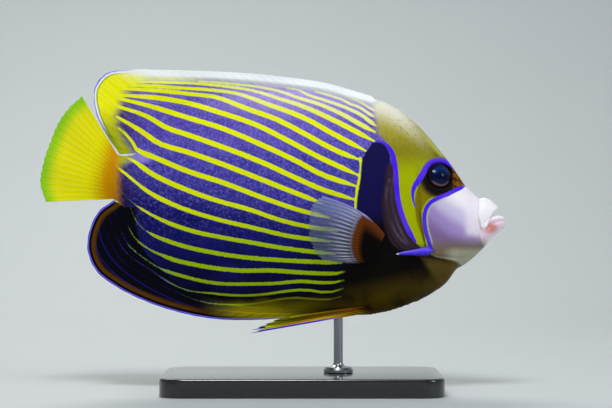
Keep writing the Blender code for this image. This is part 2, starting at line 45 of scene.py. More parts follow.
rng = np.random.default_rng(20)


# Camera, floor and lights

view = {
    "centre": (0.0181, 0, 0.1011),  # what the middle of the picture looks at
    "distance": 1.1,
    "widthAtFish": 0.3305,
    "sensor": 36,
}
studio = {
    "bend": 0.35,  # radius of the sweep between floor and wall
    "back": 0.9,
    "front": -2.2,
    "wallHeight": 2.6,
    "length": 3.2,
    "floor": "#C4C9CB",
    "wall": "#C6CED4",
    "ambient": 0.42,
    "lamps": [  # name, place, size, watts, colour
        ("keyLamp", (-0.1, -0.8, 1.2), 0.4, 11.2, "#FFFFFF"),
        ("frontLamp", (0.9, -0.5, 0.45), 0.4, 2.5, "#F4F8FF"),
        ("rimLamp", (-0.2, 0.75, 0.85), 0.6, 6.0, "#FFFDF4"),
    ],
}


def linear(hexColour, alpha=1.0):
    channels = [int(hexColour[i:i + 2], 16) / 255 for i in (1, 3, 5)]
    return (*[c / 12.92 if c <= 0.04045 else ((c + 0.055) / 1.055) ** 2.4 for c in channels], alpha)


def link(item):
    bpy.context.scene.collection.objects.link(item)
    return item


def aim(item, target):
    item.rotation_euler = (Vector(target) - item.location).to_track_quat("-Z", "Y").to_euler()


def makeStudio():
    scene = bpy.context.scene
    scene.view_settings.view_transform = "Standard"
    lens = bpy.data.cameras.new("camera")
    lens.sensor_width = view["sensor"]
    lens.lens = view["sensor"] * view["distance"] / view["widthAtFish"]
    camera = link(bpy.data.objects.new("camera", lens))
    x, y, z = view["centre"]
    camera.location = (x, y - view["distance"], z)
    camera.rotation_euler = (math.pi / 2, 0, 0)
    scene.camera = camera

    # a seamless sweep: flat floor, round bend, upright wall
    bend, back = studio["bend"], studio["back"]
    turn = np.linspace(0.1, math.pi / 2, 14)
    line = [(studio["front"], 0.0), (back - bend, 0.0)]
    line += [(back - bend + bend * math.sin(a), bend - bend * math.cos(a)) for a in turn]
    line.append((back, studio["wallHeight"]))
    points = [(sx * studio["length"] / 2, y, z) for y, z in line for sx in (-1, 1)]
    faces = [(2 * k, 2 * k + 1, 2 * k + 3, 2 * k + 2) for k in range(len(line) - 1)]
    mesh = bpy.data.meshes.new("floor")
    mesh.from_pydata(points, [], faces)
    mesh.shade_smooth()
    floor = link(bpy.data.objects.new("floor", mesh))
    # seen from its rear the paper is clear, so the model shows from behind and from below too
    paper = paintedBoard("studioPaper", studio["floor"], 0.7)
    rear = addNode("ShaderNodeNewGeometry").outputs["Backfacing"]
    mesh.materials.append(finished(paper, Alpha=times(1.0, rear, "SUBTRACT")))

    world = bpy.data.worlds.new("studio")
    scene.world = world
    world.use_nodes = True
    sky = world.node_tree.nodes["Background"]
    sky.inputs["Color"].default_value = linear(studio["wall"])
    sky.inputs["Strength"].default_value = studio["ambient"]
    for name, place, size, watts, colour in studio["lamps"]:
        light = bpy.data.lights.new(name, "AREA")
        light.shape = "DISK"
        light.size = size
        light.energy = watts
        light.color = linear(colour)[:3]
        lamp = link(bpy.data.objects.new(name, light))
        lamp.location = place
        aim(lamp, view["centre"])


# Materials

canvas = {}  # the node tree of the material that is being made


def fill(node, links):
    # a link names an input (spaces as _, or i and a number) and takes a socket or a value
    for key, value in links.items():
        socket = node.inputs[int(key[1:]) if re.fullmatch(r"i\d+", key) else key.replace("_", " ")]
        if isinstance(value, bpy.types.NodeSocket):
            canvas["tree"].links.new(value, socket)
        else:
            socket.default_value = value
    return node


def addNode(kind, settings=None, **links):
    # one node with its settings and links
    node = canvas["tree"].nodes.new(kind)
    for key, value in (settings or {}).items():
        setattr(node, key, value)
    return fill(node, links)


def newMaterial(name):
    material = bpy.data.materials.new(name)
    material.use_nodes = True
    canvas["tree"] = material.node_tree
    return material


def finished(material, **links):
    # gives the surface its colour, gloss and grain
    fill(material.node_tree.nodes["Principled BSDF"], links)
    return material


def field(name):
    # a value painted on the mesh, point by point
    return addNode("ShaderNodeAttribute", {"attribute_name": name}).outputs["Fac"]


def place():
    return addNode("ShaderNodeTexCoord").outputs["Object"]


def edgeOf(distance, soft, shift=0.0):
    # 1 inside a marking, 0 outside; distance and soft are in millimetres
    return ramp(distance, shift + soft, shift - soft)


def times(a, b, operation="MULTIPLY"):
    return addNode("ShaderNodeMath", {"operation": operation}, i0=a, i1=b).outputs[0]


def plus(a, b):
    return times(a, b, "ADD")


def most(a, b):
    return times(a, b, "MAXIMUM")


def over(under, colour, amount):
    # paints a colour over what lies under it
    colour = linear(colour) if isinstance(colour, str) else colour
    node = addNode("ShaderNodeMix", {"data_type": "RGBA"}, i0=amount, i6=under, i7=colour)
    return node.outputs[2]


def noise(size, detail=2.0, rough=0.5, stretch=(1, 1, 1)):
    # noise whose blotches are about size millimetres across
    scale = tuple(s / (size * mm) for s in stretch)
    where = addNode("ShaderNodeMapping", None, Vector=place(), Scale=scale).outputs[0]
    return addNode(
        "ShaderNodeTexNoise", None, Vector=where, Scale=1.0, Detail=detail, Roughness=rough,
    ).outputs[0]


def bump(height, depth):
    # depth in millimetres
    return addNode("ShaderNodeBump", None, Height=height, Distance=depth * mm, Strength=1.0).outputs[0]


def paintedBoard(name, colour, roughness):
    # lacquered or papered board: an even colour with a faint mottle
    material = newMaterial(name)
    base = over(addColour(colour), "#808080", times(noise(60), 0.04))
    return finished(material, Base_Color=base, Roughness=roughness)


def addColour(colour):
    node = addNode("ShaderNodeRGB")
    node.outputs[0].default_value = linear(colour)
    return node.outputs[0]


# Curves and fields in the side view

def smoothAt(knots, values, at):
    # a smooth curve through values at knots
    knots, values = np.asarray(knots, float), np.asarray(values, float)
    at = np.clip(np.asarray(at, float), knots[0], knots[-1])
    slopes = np.gradient(values, knots, axis=0)
    left = np.clip(np.searchsorted(knots, at) - 1, 0, len(knots) - 2)
    step = knots[left + 1] - knots[left]
    t = (at - knots[left]) / step
    if values.ndim > 1:
        t, step = t[..., None], step[..., None]
    a = (1 + 2 * t) * (1 - t) ** 2 * values[left] + t * (1 - t) ** 2 * step * slopes[left]
    return a + t * t * (3 - 2 * t) * values[left + 1] + t * t * (t - 1) * step * slopes[left + 1]


def profile(points, at):
    return smoothAt(*zip(*points), at)


def chords(points):
    steps = np.linalg.norm(np.diff(np.asarray(points, float), axis=0), axis=1)
    return np.concatenate([[0.0], np.cumsum(steps)])


def curve(points, count):
    # evenly spaced points along the smooth curve through a few
    points = np.asarray(points, float)
    knots = chords(points)
    dense = smoothAt(knots, points, np.linspace(0, knots[-1], 300))
    length = chords(dense)
    wanted = np.linspace(0, length[-1], count)
    return np.stack([np.interp(wanted, length, dense[:, i]) for i in range(points.shape[1])], axis=-1)


def ease(edge0, edge1, x):
    t = np.clip((np.asarray(x, float) - edge0) / (edge1 - edge0), 0, 1)
    return t * t * (3 - 2 * t)


def toLine(line, x, z):
    # distance to a polyline, and how far along it the nearest point lies, from 0 to 1
    best = np.full(np.shape(x), 1e9)
    share = np.zeros(np.shape(x))
    for k, ((ax, az), (bx, bz)) in enumerate(zip(line[:-1], line[1:])):
        dx, dz = bx - ax, bz - az
        t = np.clip(((x - ax) * dx + (z - az) * dz) / (dx * dx + dz * dz + 1e-12), 0, 1)
        d = (x - ax - t * dx) ** 2 + (z - az - t * dz) ** 2
        near = d < best
        best = np.where(near, d, best)
        share = np.where(near, (k + t) / (len(line) - 1), share)
    return np.sqrt(best), share


def toShape(outline, x, z):
    # signed distance to a closed outline, below zero inside it
    line = curve(outline + outline[:1], 60)
    d = toLine(line, x, z)[0]
    inside = np.zeros(np.shape(x), bool)
    for (ax, az), (bx, bz) in zip(line[:-1], line[1:]):
        if az == bz:
            continue
        crosses = ((az > z) != (bz > z)) & (x < (bx - ax) * (z - az) / (bz - az) + ax)
        inside ^= crosses
    return np.where(inside, -d, d)


# The body's shape, as the solids have it

body = {
    "top": [
        (-83.5, 127.5), (-78, 127), (-73, 128.5), (-66, 136), (-59, 144.5), (-51, 151), (-39, 156.5),
        (-23, 159.5), (-4, 161), (15, 161), (36.5, 160), (53.5, 158), (63.5, 154.5), (76, 146), (88, 133),
        (98, 120), (104.5, 110.5), (111.5, 104),
    ],
    "bottom": [
        (-85.5, 103.5), (-81.5, 101), (-77, 94), (-73.5, 87), (-70.5, 79), (-63.5, 70), (-54.5, 61),
        (-44.5, 54.5), (-31, 49.5), (-15, 46.5), (4, 44.5), (20, 43), (35.5, 42), (47, 41.3), (59.5, 42.7),
        (73.5, 47), (87, 53.5), (95, 60), (99.5, 66), (103.5, 68.3), (108, 71.7), (114.3, 77.8),
    ],
    "tail": [(-83.5, 127.5), (-84, 119.5), (-85, 111.5), (-85.5, 103.5)],
    "mouth": [(111.5, 104), (110.5, 96), (111, 87.7), (112.5, 82), (114.3, 77.8)],
    "halfWidth": [
        (-86, 3.6), (-73, 5.2), (-60, 8), (-40, 12), (-10, 15.6), (20, 17.2), (48, 17.8), (66, 17.2),
        (82, 15.6), (95, 13.2), (104, 11), (111, 9), (116, 8.4),
    ],
    "topEdge": [
        (-84, 0.9), (-73, 1.4), (-60, 2), (-30, 2.6), (15, 2.8), (40, 2.4), (57, 1.4), (66, 0.3),
        (115, 0.3),
    ],
    "bottomEdge": [
        (-86, 0.9), (-73, 1.4), (-55, 2), (-30, 2.6), (10, 2.8), (35, 2.4), (44, 1.2), (52, 0.3),
        (115, 0.3),
    ],
    "widestLevel": 0.44,
    "finBlend": 2.4,
    "topBlendEnds": (42, 60),
    "bottomBlendEnds": (16, 34),
    "coat": 0.2,  # depth of the scales that lie over the skin
}


def halfWidth(x, z):
    top, bottom = profile(body["top"], x), profile(body["bottom"], x)
    middle = bottom + (top - bottom) * body["widestLevel"]
    above = z > middle
    height = np.where(above, top - middle, middle - bottom)
    level = np.clip(np.abs(z - middle) / height, 0, 1)
    fullness = np.interp(x, [-60, 40, 90], [0.78, 0.66, 0.56])
    topBlend = np.interp(x, body["topBlendEnds"], [body["finBlend"], 0])
    blend = np.where(above, topBlend, np.interp(x, body["bottomBlendEnds"], [body["finBlend"], 0])) + 1e-6
    depth = (1 - level) * height
    swell = (1 - level**2.1) ** fullness * depth / (depth + blend) * (height + blend) / height
    edge = np.where(z > (top + bottom) / 2, profile(body["topEdge"], x), profile(body["bottomEdge"], x))
    return edge + (profile(body["halfWidth"], x) - edge) * swell


head = {
    "eye": (89.7, 116.6),
    "eyeRadius": 7.0,
    "rimRadius": 8.3,
    "rimWidth": 1.1,
    "rimHeight": 0.55,
    "gillEdge": [
        (62, 119.5), (60, 110), (59.8, 100), (62.3, 88), (68, 78.6), (76.5, 72.3), (86, 69.8), (96, 68.5),
    ],
    "gillRise": 0.55,
    "cheekEdge": [(77.5, 116), (79, 108.5), (79.6, 99), (80.8, 89), (83.5, 81), (87, 76.5)],
    "cheekRise": 0.45,
    "jawFold": [(84, 74), (92.5, 73), (99.5, 72), (107, 73)],
    "lipFold": [(107.2, 98), (107.6, 93), (108.6, 88), (110.2, 83)],
    "nostrils": [(98.5, 115.2), (101, 111.6)],
}


def headRelief(x, z):
    # folds and plates of the head, as a height over the plain body
    d = np.hypot(x - head["eye"][0], z - head["eye"][1])
    rise = head["rimHeight"] * np.exp(-(((d - head["rimRadius"]) / head["rimWidth"]) ** 2))
    rise -= 2.6 * ease(head["eyeRadius"] + 0.5, head["eyeRadius"] - 1.2, d)
    # gill cover: climbs to its rear edge, then drops to the shoulder
    line = curve(head["gillEdge"], 40)
    d, share = toLine(line, x, z)
    ahead = x > np.interp(z, line[::-1, 1], line[::-1, 0])
    fade = ease(0, 0.1, share) * ease(1, 0.72, share)
    step = np.where(ahead, np.exp(-d / 7), -0.5 * np.exp(-((d / 0.8) ** 2))) * ease(0, 0.45, d)
    rise += head["gillRise"] * step * fade
    # cheek plate: its rear edge stands a little over the gill cover
    line = curve(head["cheekEdge"], 30)
    d, share = toLine(line, x, z)
    ahead = x > np.interp(z, line[::-1, 1], line[::-1, 0])
    fade = ease(0, 0.15, share)
    step = np.where(ahead, np.exp(-d / 5), -0.6 * np.exp(-((d / 0.7) ** 2))) * ease(0, 0.5, d)
    rise += head["cheekRise"] * step * fade
    for name, depth, width in (("jawFold", 0.4, 0.7), ("lipFold", 0.6, 0.7)):
        d, share = toLine(curve(head[name], 20), x, z)
        rise -= depth * np.exp(-((d / width) ** 2)) * ease(0, 0.2, share) * ease(1, 0.8, share)
    d, share = toLine(curve([(px - 1.5, pz) for px, pz in head["lipFold"]], 20), x, z)
    rise += 0.45 * np.exp(-((d / 1.0) ** 2)) * ease(0, 0.3, share) * ease(1, 0.7, share)
    for px, pz in head["nostrils"]:
        d = np.hypot(x - px, z - pz)
        rise += 0.25 * np.exp(-(((d - 0.95) / 0.35) ** 2)) - 0.9 * ease(0.85, 0.2, d)
    return rise


def skinWidth(x, z):
    plain = halfWidth(x, z)
    lift = headRelief(x, z) * ease(0.5, 3.0, plain)
    return np.maximum(plain - body["coat"] * ease(66, 58, x) + lift, 0.02)


# Markings: signed distances in millimetres, below zero inside a marking

stripes = {
    "halfWidth": 1.16,
    "lines": [
        [(38, 160.2), (46.9, 156.2), (52.2, 152.8), (55.5, 151)],
        [
            (22.9, 161.8), (28.2, 160.4), (33.6, 158.7), (37.8, 157.2), (41.6, 155.1), (46.9, 153),
            (52.2, 149.4), (55, 147.7),
        ],
        [
            (8, 163.6), (14.9, 162.2), (20, 159.6), (25.6, 157.8), (36.2, 154.2), (41.6, 152), (47, 149.3),
            (55.5, 142.9),
        ],
        [
            (-40, 167.3), (-33, 166.9), (-22.4, 166), (-11.7, 164.9), (-1.1, 163.1), (4.2, 161.9),
            (9.6, 159.9), (14.9, 158), (25.6, 154.7), (30.9, 152.4), (36.2, 150), (47, 143.9), (55, 139.5),
        ],
        [
            (-78, 166.6), (-65, 167), (-54.4, 166.7), (-33.1, 165.5), (-22.4, 164.2), (-11.7, 162.5),
            (-6.4, 161.2), (4.2, 157.7), (15, 154.2), (33.5, 145.7), (54.5, 134.6),
        ],
        [
            (-81.5, 165), (-65, 164.9), (-50, 163.8), (-33.5, 162.7), (-20, 160.9), (-1, 154.2),
            (17.5, 147), (33.5, 138.1), (50, 129.4),
        ],
        [
            (-81.5, 163.4), (-60.5, 162.3), (-44.5, 160.5), (-30, 158.7), (-14.5, 152.6), (4, 145.7),
            (15, 139.9), (36, 128.8), (47, 124.5),
        ],
        [
            (-82.5, 159.9), (-60.5, 158.2), (-44.5, 155.3), (-28, 150.2), (-6.5, 142.6), (4, 137.3),
            (25.5, 125.9), (46, 116.4),
        ],
        [
            (-82.5, 158), (-66, 153.9), (-44.5, 147.2), (-28, 142.1), (-6.5, 133.1), (15, 123),
            (25.5, 117.3), (45, 110.5),
        ],
        [
            (-83.5, 153.8), (-66, 147.6), (-59, 143.2), (-44, 137.8), (-28, 132.1), (-6.5, 123.8),
            (15, 113.9), (25.5, 109.3), (44.5, 103.2),
        ],
        [
            (-84, 148.2), (-69, 139.2), (-63, 134.9), (-44, 128.5), (-28, 122.9), (-6.5, 114.5),
            (4.5, 110.1), (26.5, 101.5),
        ],
        [
            (-83, 142), (-77, 136.6), (-72.5, 129.6), (-67, 127.6), (-44, 118.2), (-28, 113.1),
            (-3.5, 103.9), (15, 97.7), (31, 93.8),
        ],
        [
            (-84, 127.7), (-77, 125.5), (-65.5, 117.8), (-44, 108), (-28, 102.5), (-11.5, 98), (1.5, 93.4),
            (20, 88.9), (35, 86.9),
        ],
        [
            (-86.5, 123.4), (-81, 118.9), (-65.5, 106.9), (-54.5, 101.4), (-28, 92.6), (-11.5, 88.8),
            (7, 84.4), (31, 81.2),
        ],
        [
            (-88.5, 116.3), (-83, 109.8), (-76.5, 102.8), (-68.5, 97.3), (-44, 87), (-28, 83.5),
            (-11.5, 80.6), (9, 77.2), (33.5, 74.5),
        ],
        [
            (-76.4, 99.5), (-74.5, 94), (-71.8, 89.8), (-67, 86.1), (-52, 79.9), (-28, 74.5), (17.5, 70.5),
            (37.5, 69.8),
        ],
        [
            (-81.5, 98.2), (-78.5, 90.3), (-73, 81.3), (-68.5, 77.9), (-55, 71.8), (-38.5, 68), (-17, 65.5),
            (0, 65.6), (13, 64.7), (26.5, 64), (36, 64.3), (39, 65.2),
        ],
        [
            (-85.5, 99.7), (-82.5, 88.9), (-77.5, 78.7), (-69, 71.7), (-60.5, 66.3), (-47, 61.9),
            (-31, 58.6), (-12, 58.2), (2, 58.6), (16, 59.8), (26.5, 59), (33, 59.2), (38.5, 60.4),
        ],
        [
            (-89, 98.6), (-86, 87.8), (-79.5, 75.3), (-66, 65.7), (-55.5, 58.6), (-46, 54.5), (-33.5, 53.1),
            (-19, 51.9), (-6, 52.4), (3, 53.7), (13.5, 55), (20, 54.9), (26.5, 53.9), (32, 54.1), (38, 56),
        ],
        [
            (-92, 95.1), (-90.5, 87.6), (-86.5, 78.6), (-81.5, 70.6), (-71.5, 64.1), (-60.5, 57.7),
            (-50, 52.7), (-36, 47.9), (-26, 46.9), (-15.5, 46.9), (-6, 47.9), (3, 49.8), (13.5, 50.8),
            (24, 49.9), (32, 50.2), (37, 51.6),
        ],
    ],
    "fine": [  # blue hair lines outside the last stripe on the anal fin
        [
            (-94, 91.9), (-92.8, 82.9), (-89, 74.9), (-83, 67.4), (-74, 60.4), (-63, 53.9), (-52, 48.9),
            (-40, 44.4),
        ],
        [(-96, 85.9), (-95.2, 77.9), (-91.5, 70.4), (-85, 63.4), (-75.5, 56.4), (-64, 50.4), (-50, 44.9)],
    ],
}
markings = {
    "frontBorder": [(47, 125.5), (47.5, 122), (46.5, 114), (45, 106), (44.5, 97)],
    "patch": [
        (53.5, 134), (59, 134), (62, 129.5), (63, 119), (63, 111), (63.5, 103), (65, 96.5), (67.5, 90),
        (71, 84), (74, 79), (68, 74), (57.5, 76), (49.5, 82), (45, 97), (45.5, 106), (47, 114), (48, 124.5),
    ],
    "shoulderLine": [
        (56, 134.6), (59, 134), (61.8, 132), (63.8, 129), (64.9, 125), (65.8, 119), (66.3, 111),
        (67, 103.5), (68.6, 97), (71, 90.5), (74.2, 84.3), (76.4, 81.3),
    ],
    "eyeLine": [
        (98.2, 120.2), (95, 122.6), (90.5, 124.3), (86, 123.4), (82.6, 120.8), (80.2, 117), (77.8, 113.3),
        (75.4, 109.5), (74.9, 107), (75.2, 103), (76.2, 99.5),
    ],
    "mask": [
        (78, 111), (80, 116.5), (84.5, 122.5), (95.5, 122.5), (103, 118.5), (104.5, 112), (99.5, 109.5),
        (95, 108), (89.5, 106), (84, 104), (81, 100.5), (79.5, 96.5), (79.5, 91.5), (81, 84.5),
        (81.5, 80.5), (79, 86), (76.5, 95), (76, 103),
    ],
    "cheekLine": [
        (105, 111.5), (102, 110), (98.5, 108.6), (94, 106.4), (88.5, 104.2), (84.8, 102.2), (82.5, 99.5),
        (81.3, 96), (81.2, 91.5), (82.1, 86), (83.6, 81), (84.6, 76.5),
    ],
    "cheek": [
        (106, 112.5), (102, 110.6), (98.5, 109.2), (94, 107), (88.5, 104.8), (84.8, 102.7), (82.2, 99.8),
        (81, 96), (80.9, 91.5), (81.8, 86), (83.2, 81), (84.2, 74.5), (92.5, 72), (99.5, 70), (104, 66),
        (116, 76), (128, 86), (128, 104), (112, 106),
    ],
    "chest": [
        (44.5, 92), (52, 88.5), (60, 88), (64, 84), (69, 77), (84, 74.5), (92, 72), (99.5, 69), (110, 58),
        (95, 40), (60, 30), (38, 30), (37, 50), (37.5, 60), (39, 75), (40, 86),
    ],
    "throat": [(80, 72.5), (90, 70.8), (99.5, 69.5), (106, 68), (108, 60), (98, 52), (90, 58), (84, 66)],
    "lobe": [
        (-100, 176), (-70, 176), (-69, 167.5), (-77, 163.5), (-81, 160), (-82.5, 154), (-84, 149),
        (-83.5, 143), (-80.5, 137), (-76, 128), (-82, 122), (-93, 138), (-101, 155),
    ],
    "seam": [(77, 107), (78, 100), (79, 94), (80, 88), (81, 82), (82, 77.5)],
    "nape": [
        (51, 170), (53.5, 156), (55.5, 146), (57, 138), (60, 135.5), (64, 131.5), (68, 140), (68, 170),
    ],
    "gill": [
        (61.5, 122), (64.5, 123), (65.5, 112), (66.3, 103), (68, 97), (70.5, 90.5), (74, 84), (77.5, 80),
        (82, 77.5), (84, 74), (72, 75), (64, 80), (60, 90), (58.5, 103), (60, 113),
    ],
    "gillFolds": [
        [(66.5, 121), (64.5, 113), (63.5, 105), (65, 95.5), (68, 88), (72.5, 80.5), (78, 76)],
        [(62.5, 114), (60.8, 106), (61.5, 98), (64, 90), (68.5, 82.5), (73.5, 78.5)],
    ],
    "face": [
        (60, 172), (60, 154), (59.5, 142), (60, 136), (61, 134), (63, 131.5), (65.2, 127), (66, 119),
        (66.8, 103), (70.8, 90), (76, 81), (80, 77), (84, 74), (92.5, 71.5), (99.5, 69), (104, 64),
        (132, 70), (132, 130), (100, 160), (70, 172),
    ],
}


def paintFields(x, z):
    # the distances that the skin's paint reads; fins carry the same fields as the body
    base = np.full(x.shape, 1e3)
    dorsalRim = toLine(curve(fins["dorsal"]["tips"], 60), x, z)[0]
    analRim = toLine(curve(fins["anal"]["tips"], 60), x, z)[0]
    # stripes thin out towards both fin edges
    thin = np.clip(np.minimum(0.25 + (dorsalRim - 2) / 21, 0.25 + (analRim - 6) / 25), 0.3, 1)
    thin = thin * (1 + 0.35 * ease(-45, -70, x) * ease(20, 12, dorsalRim))
    thin = thin * (1 - 0.45 * ease(-52, -72, x) * ease(102, 94, z))
    thin = thin * (1 - 0.72 * ease(18, 11, analRim) * ease(-24, -44, x))
    thin = thin * (1 - 0.6 * ease(29, 25, analRim) * ease(-56, -62, x) * ease(97, 88, z))
    broad = 0.96 + 0.2 * ease(92, 116, z)
    for line in stripes["lines"]:
        d, share = toLine(curve(line, 26), x, z)
        ends = (0.6 + 0.4 * ease(0, 0.2, share)) * (0.4 + 0.6 * ease(1.0, 0.93, share))
        base = np.minimum(base, d - stripes["halfWidth"] * broad * ends * thin)
    fine = np.full(x.shape, 1e3)
    for line in stripes["fine"]:
        d, share = toLine(curve(line, 26), x, z)
        fine = np.minimum(fine, d - 0.22 * ease(0, 0.1, share) * ease(1.0, 0.85, share))
    folds = np.full(x.shape, 1e3)
    for line in markings["gillFolds"]:
        folds = np.minimum(folds, toLine(curve(line, 26), x, z)[0])
    base = np.minimum(base, toLine(curve(markings["frontBorder"], 12), x, z)[0] - 0.8)
    shoulder, share = toLine(curve(markings["shoulderLine"], 30), x, z)
    shoulder -= 1.35 * (0.4 + 0.6 * ease(0, 0.25, share)) * (0.45 + 0.55 * ease(1.0, 0.9, share))
    eye, share = toLine(curve(markings["eyeLine"], 30), x, z)
    eye -= 1.55 * (0.35 + 0.65 * ease(0, 0.2, share)) * (0.25 + 0.75 * ease(1.0, 0.6, share))
    cheekPlain, share = toLine(curve(markings["cheekLine"], 30), x, z)
    cheek = cheekPlain - 1.1 * (0.3 + 0.7 * ease(0, 0.12, share))
    shapes = ("patch", "mask", "cheek", "face", "chest", "throat", "lobe", "gill", "nape")
    return {
        **{name: toShape(markings[name], x, z) for name in shapes},
        "stripe": base,
        "blueLine": np.minimum(np.minimum(shoulder, eye), cheek),
        "seam": toLine(curve(markings["seam"], 20), x, z)[0],
        "cheekInner": cheekPlain,
        "gillFold": folds,
        "fine": fine,
        "dorsalRim": dorsalRim,
        "analRim": analRim,
        "eyeDistance": np.hypot(x - head["eye"][0], z - head["eye"][1]),
        "eyeShade": np.hypot(x - head["eye"][0] - 0.3, (z - head["eye"][1] + 1.3) * 0.95),
        "fromTop": profile(body["top"], x) - z,
    }


lattice = {"x": (-132, 132), "z": (26, 180), "step": 0.4}


def makeRaster():
    # the fields worked out once on a fine lattice of the side view
    gx, gz = (np.arange(*lattice[side], lattice["step"]) for side in "xz")
    x, z = np.meshgrid(gx, gz, indexing="ij")
    return gx, gz, {key: values.astype(np.float32) for key, values in paintFields(x, z).items()}


def painted(x, z):
    # every field at side-view points
    gx, gz, fields = raster
    a = np.clip((x - gx[0]) / (gx[1] - gx[0]), 0, len(gx) - 1.001)
    b = np.clip((z - gz[0]) / (gz[1] - gz[0]), 0, len(gz) - 1.001)
    i, j = a.astype(int), b.astype(int)
    a, b = a - i, b - j
    out = {}
    for key, v in fields.items():
        low, high = (v[i, j + k] * (1 - a) + v[i + 1, j + k] * a for k in (0, 1))
        out[key] = low * (1 - b) + high * b
    return out


# Paint

paint = {
    "groundTop": "#B8A6EA",  # violet blue between the stripes, paling towards the back
    "ground": "#6E5CC6",
    "groundMid": "#4A42AA",
    "groundLow": "#0E1462",
    "groundDeep": "#08072A",
    "yellow": "#F4F800",
    "yellowMid": "#EAF400",
    "yellowLow": "#ACCC00",
    "navy": "#16124A",
    "blue": "#4A22E8",
    "nape": "#B4AA42",
    "napeTop": "#F0EEDC",
    "band": "#A8B400",
    "mask": "#847802",
    "maskDark": "#120C0C",
    "snout": "#F6F1F5",
    "cheekHigh": "#CFC6E4",
    "cheekMid": "#A48EC8",
    "cheekLow": "#86699F",
    "chin": "#A8A890",
    "belly": "#AC9C06",
    "bellyDark": "#0A0A10",
    "chest": "#0A0805",
    "throat": "#5C4C1E",
    "lobe": "#F8F600",
    "lobeLow": "#ACB000",
    "pale": "#F4F8FC",
    "finEdge": "#7C6CF4",
    "anal": "#05060E",
    "analBrown": "#5A3604",
    "analBlue": "#3A2AE0",
    "caudal": "#EAE400",
    "caudalBase": "#CC8C00",
    "caudalEdge": "#7CCC00",
}


def ramp(value, low, high):
    # 0 below low and 1 above high, or the other way round
    return addNode(
        "ShaderNodeMapRange", {"interpolation_type": "SMOOTHSTEP"},
        Value=value, From_Min=low, From_Max=high, To_Min=0.0, To_Max=1.0,
    ).outputs[0]


def both(*parts):
    # the product of its parts; a part of three items is a ramp
    total, *others = [ramp(*part) if isinstance(part, tuple) else part for part in parts]
    for part in others:
        total = times(total, part)
    return total


def layers(base, *coats):
    # paints coats one over the other: each is a colour and the parts that say where
    if isinstance(base, str):
        base = addColour(base)
    for colour, *parts in coats:
        base = over(base, colour, both(*parts))
    return base


def sideView():
    where = addNode("ShaderNodeSeparateXYZ", None, Vector=place())
    return times(where.outputs[0], 1 / mm), times(where.outputs[2], 1 / mm)


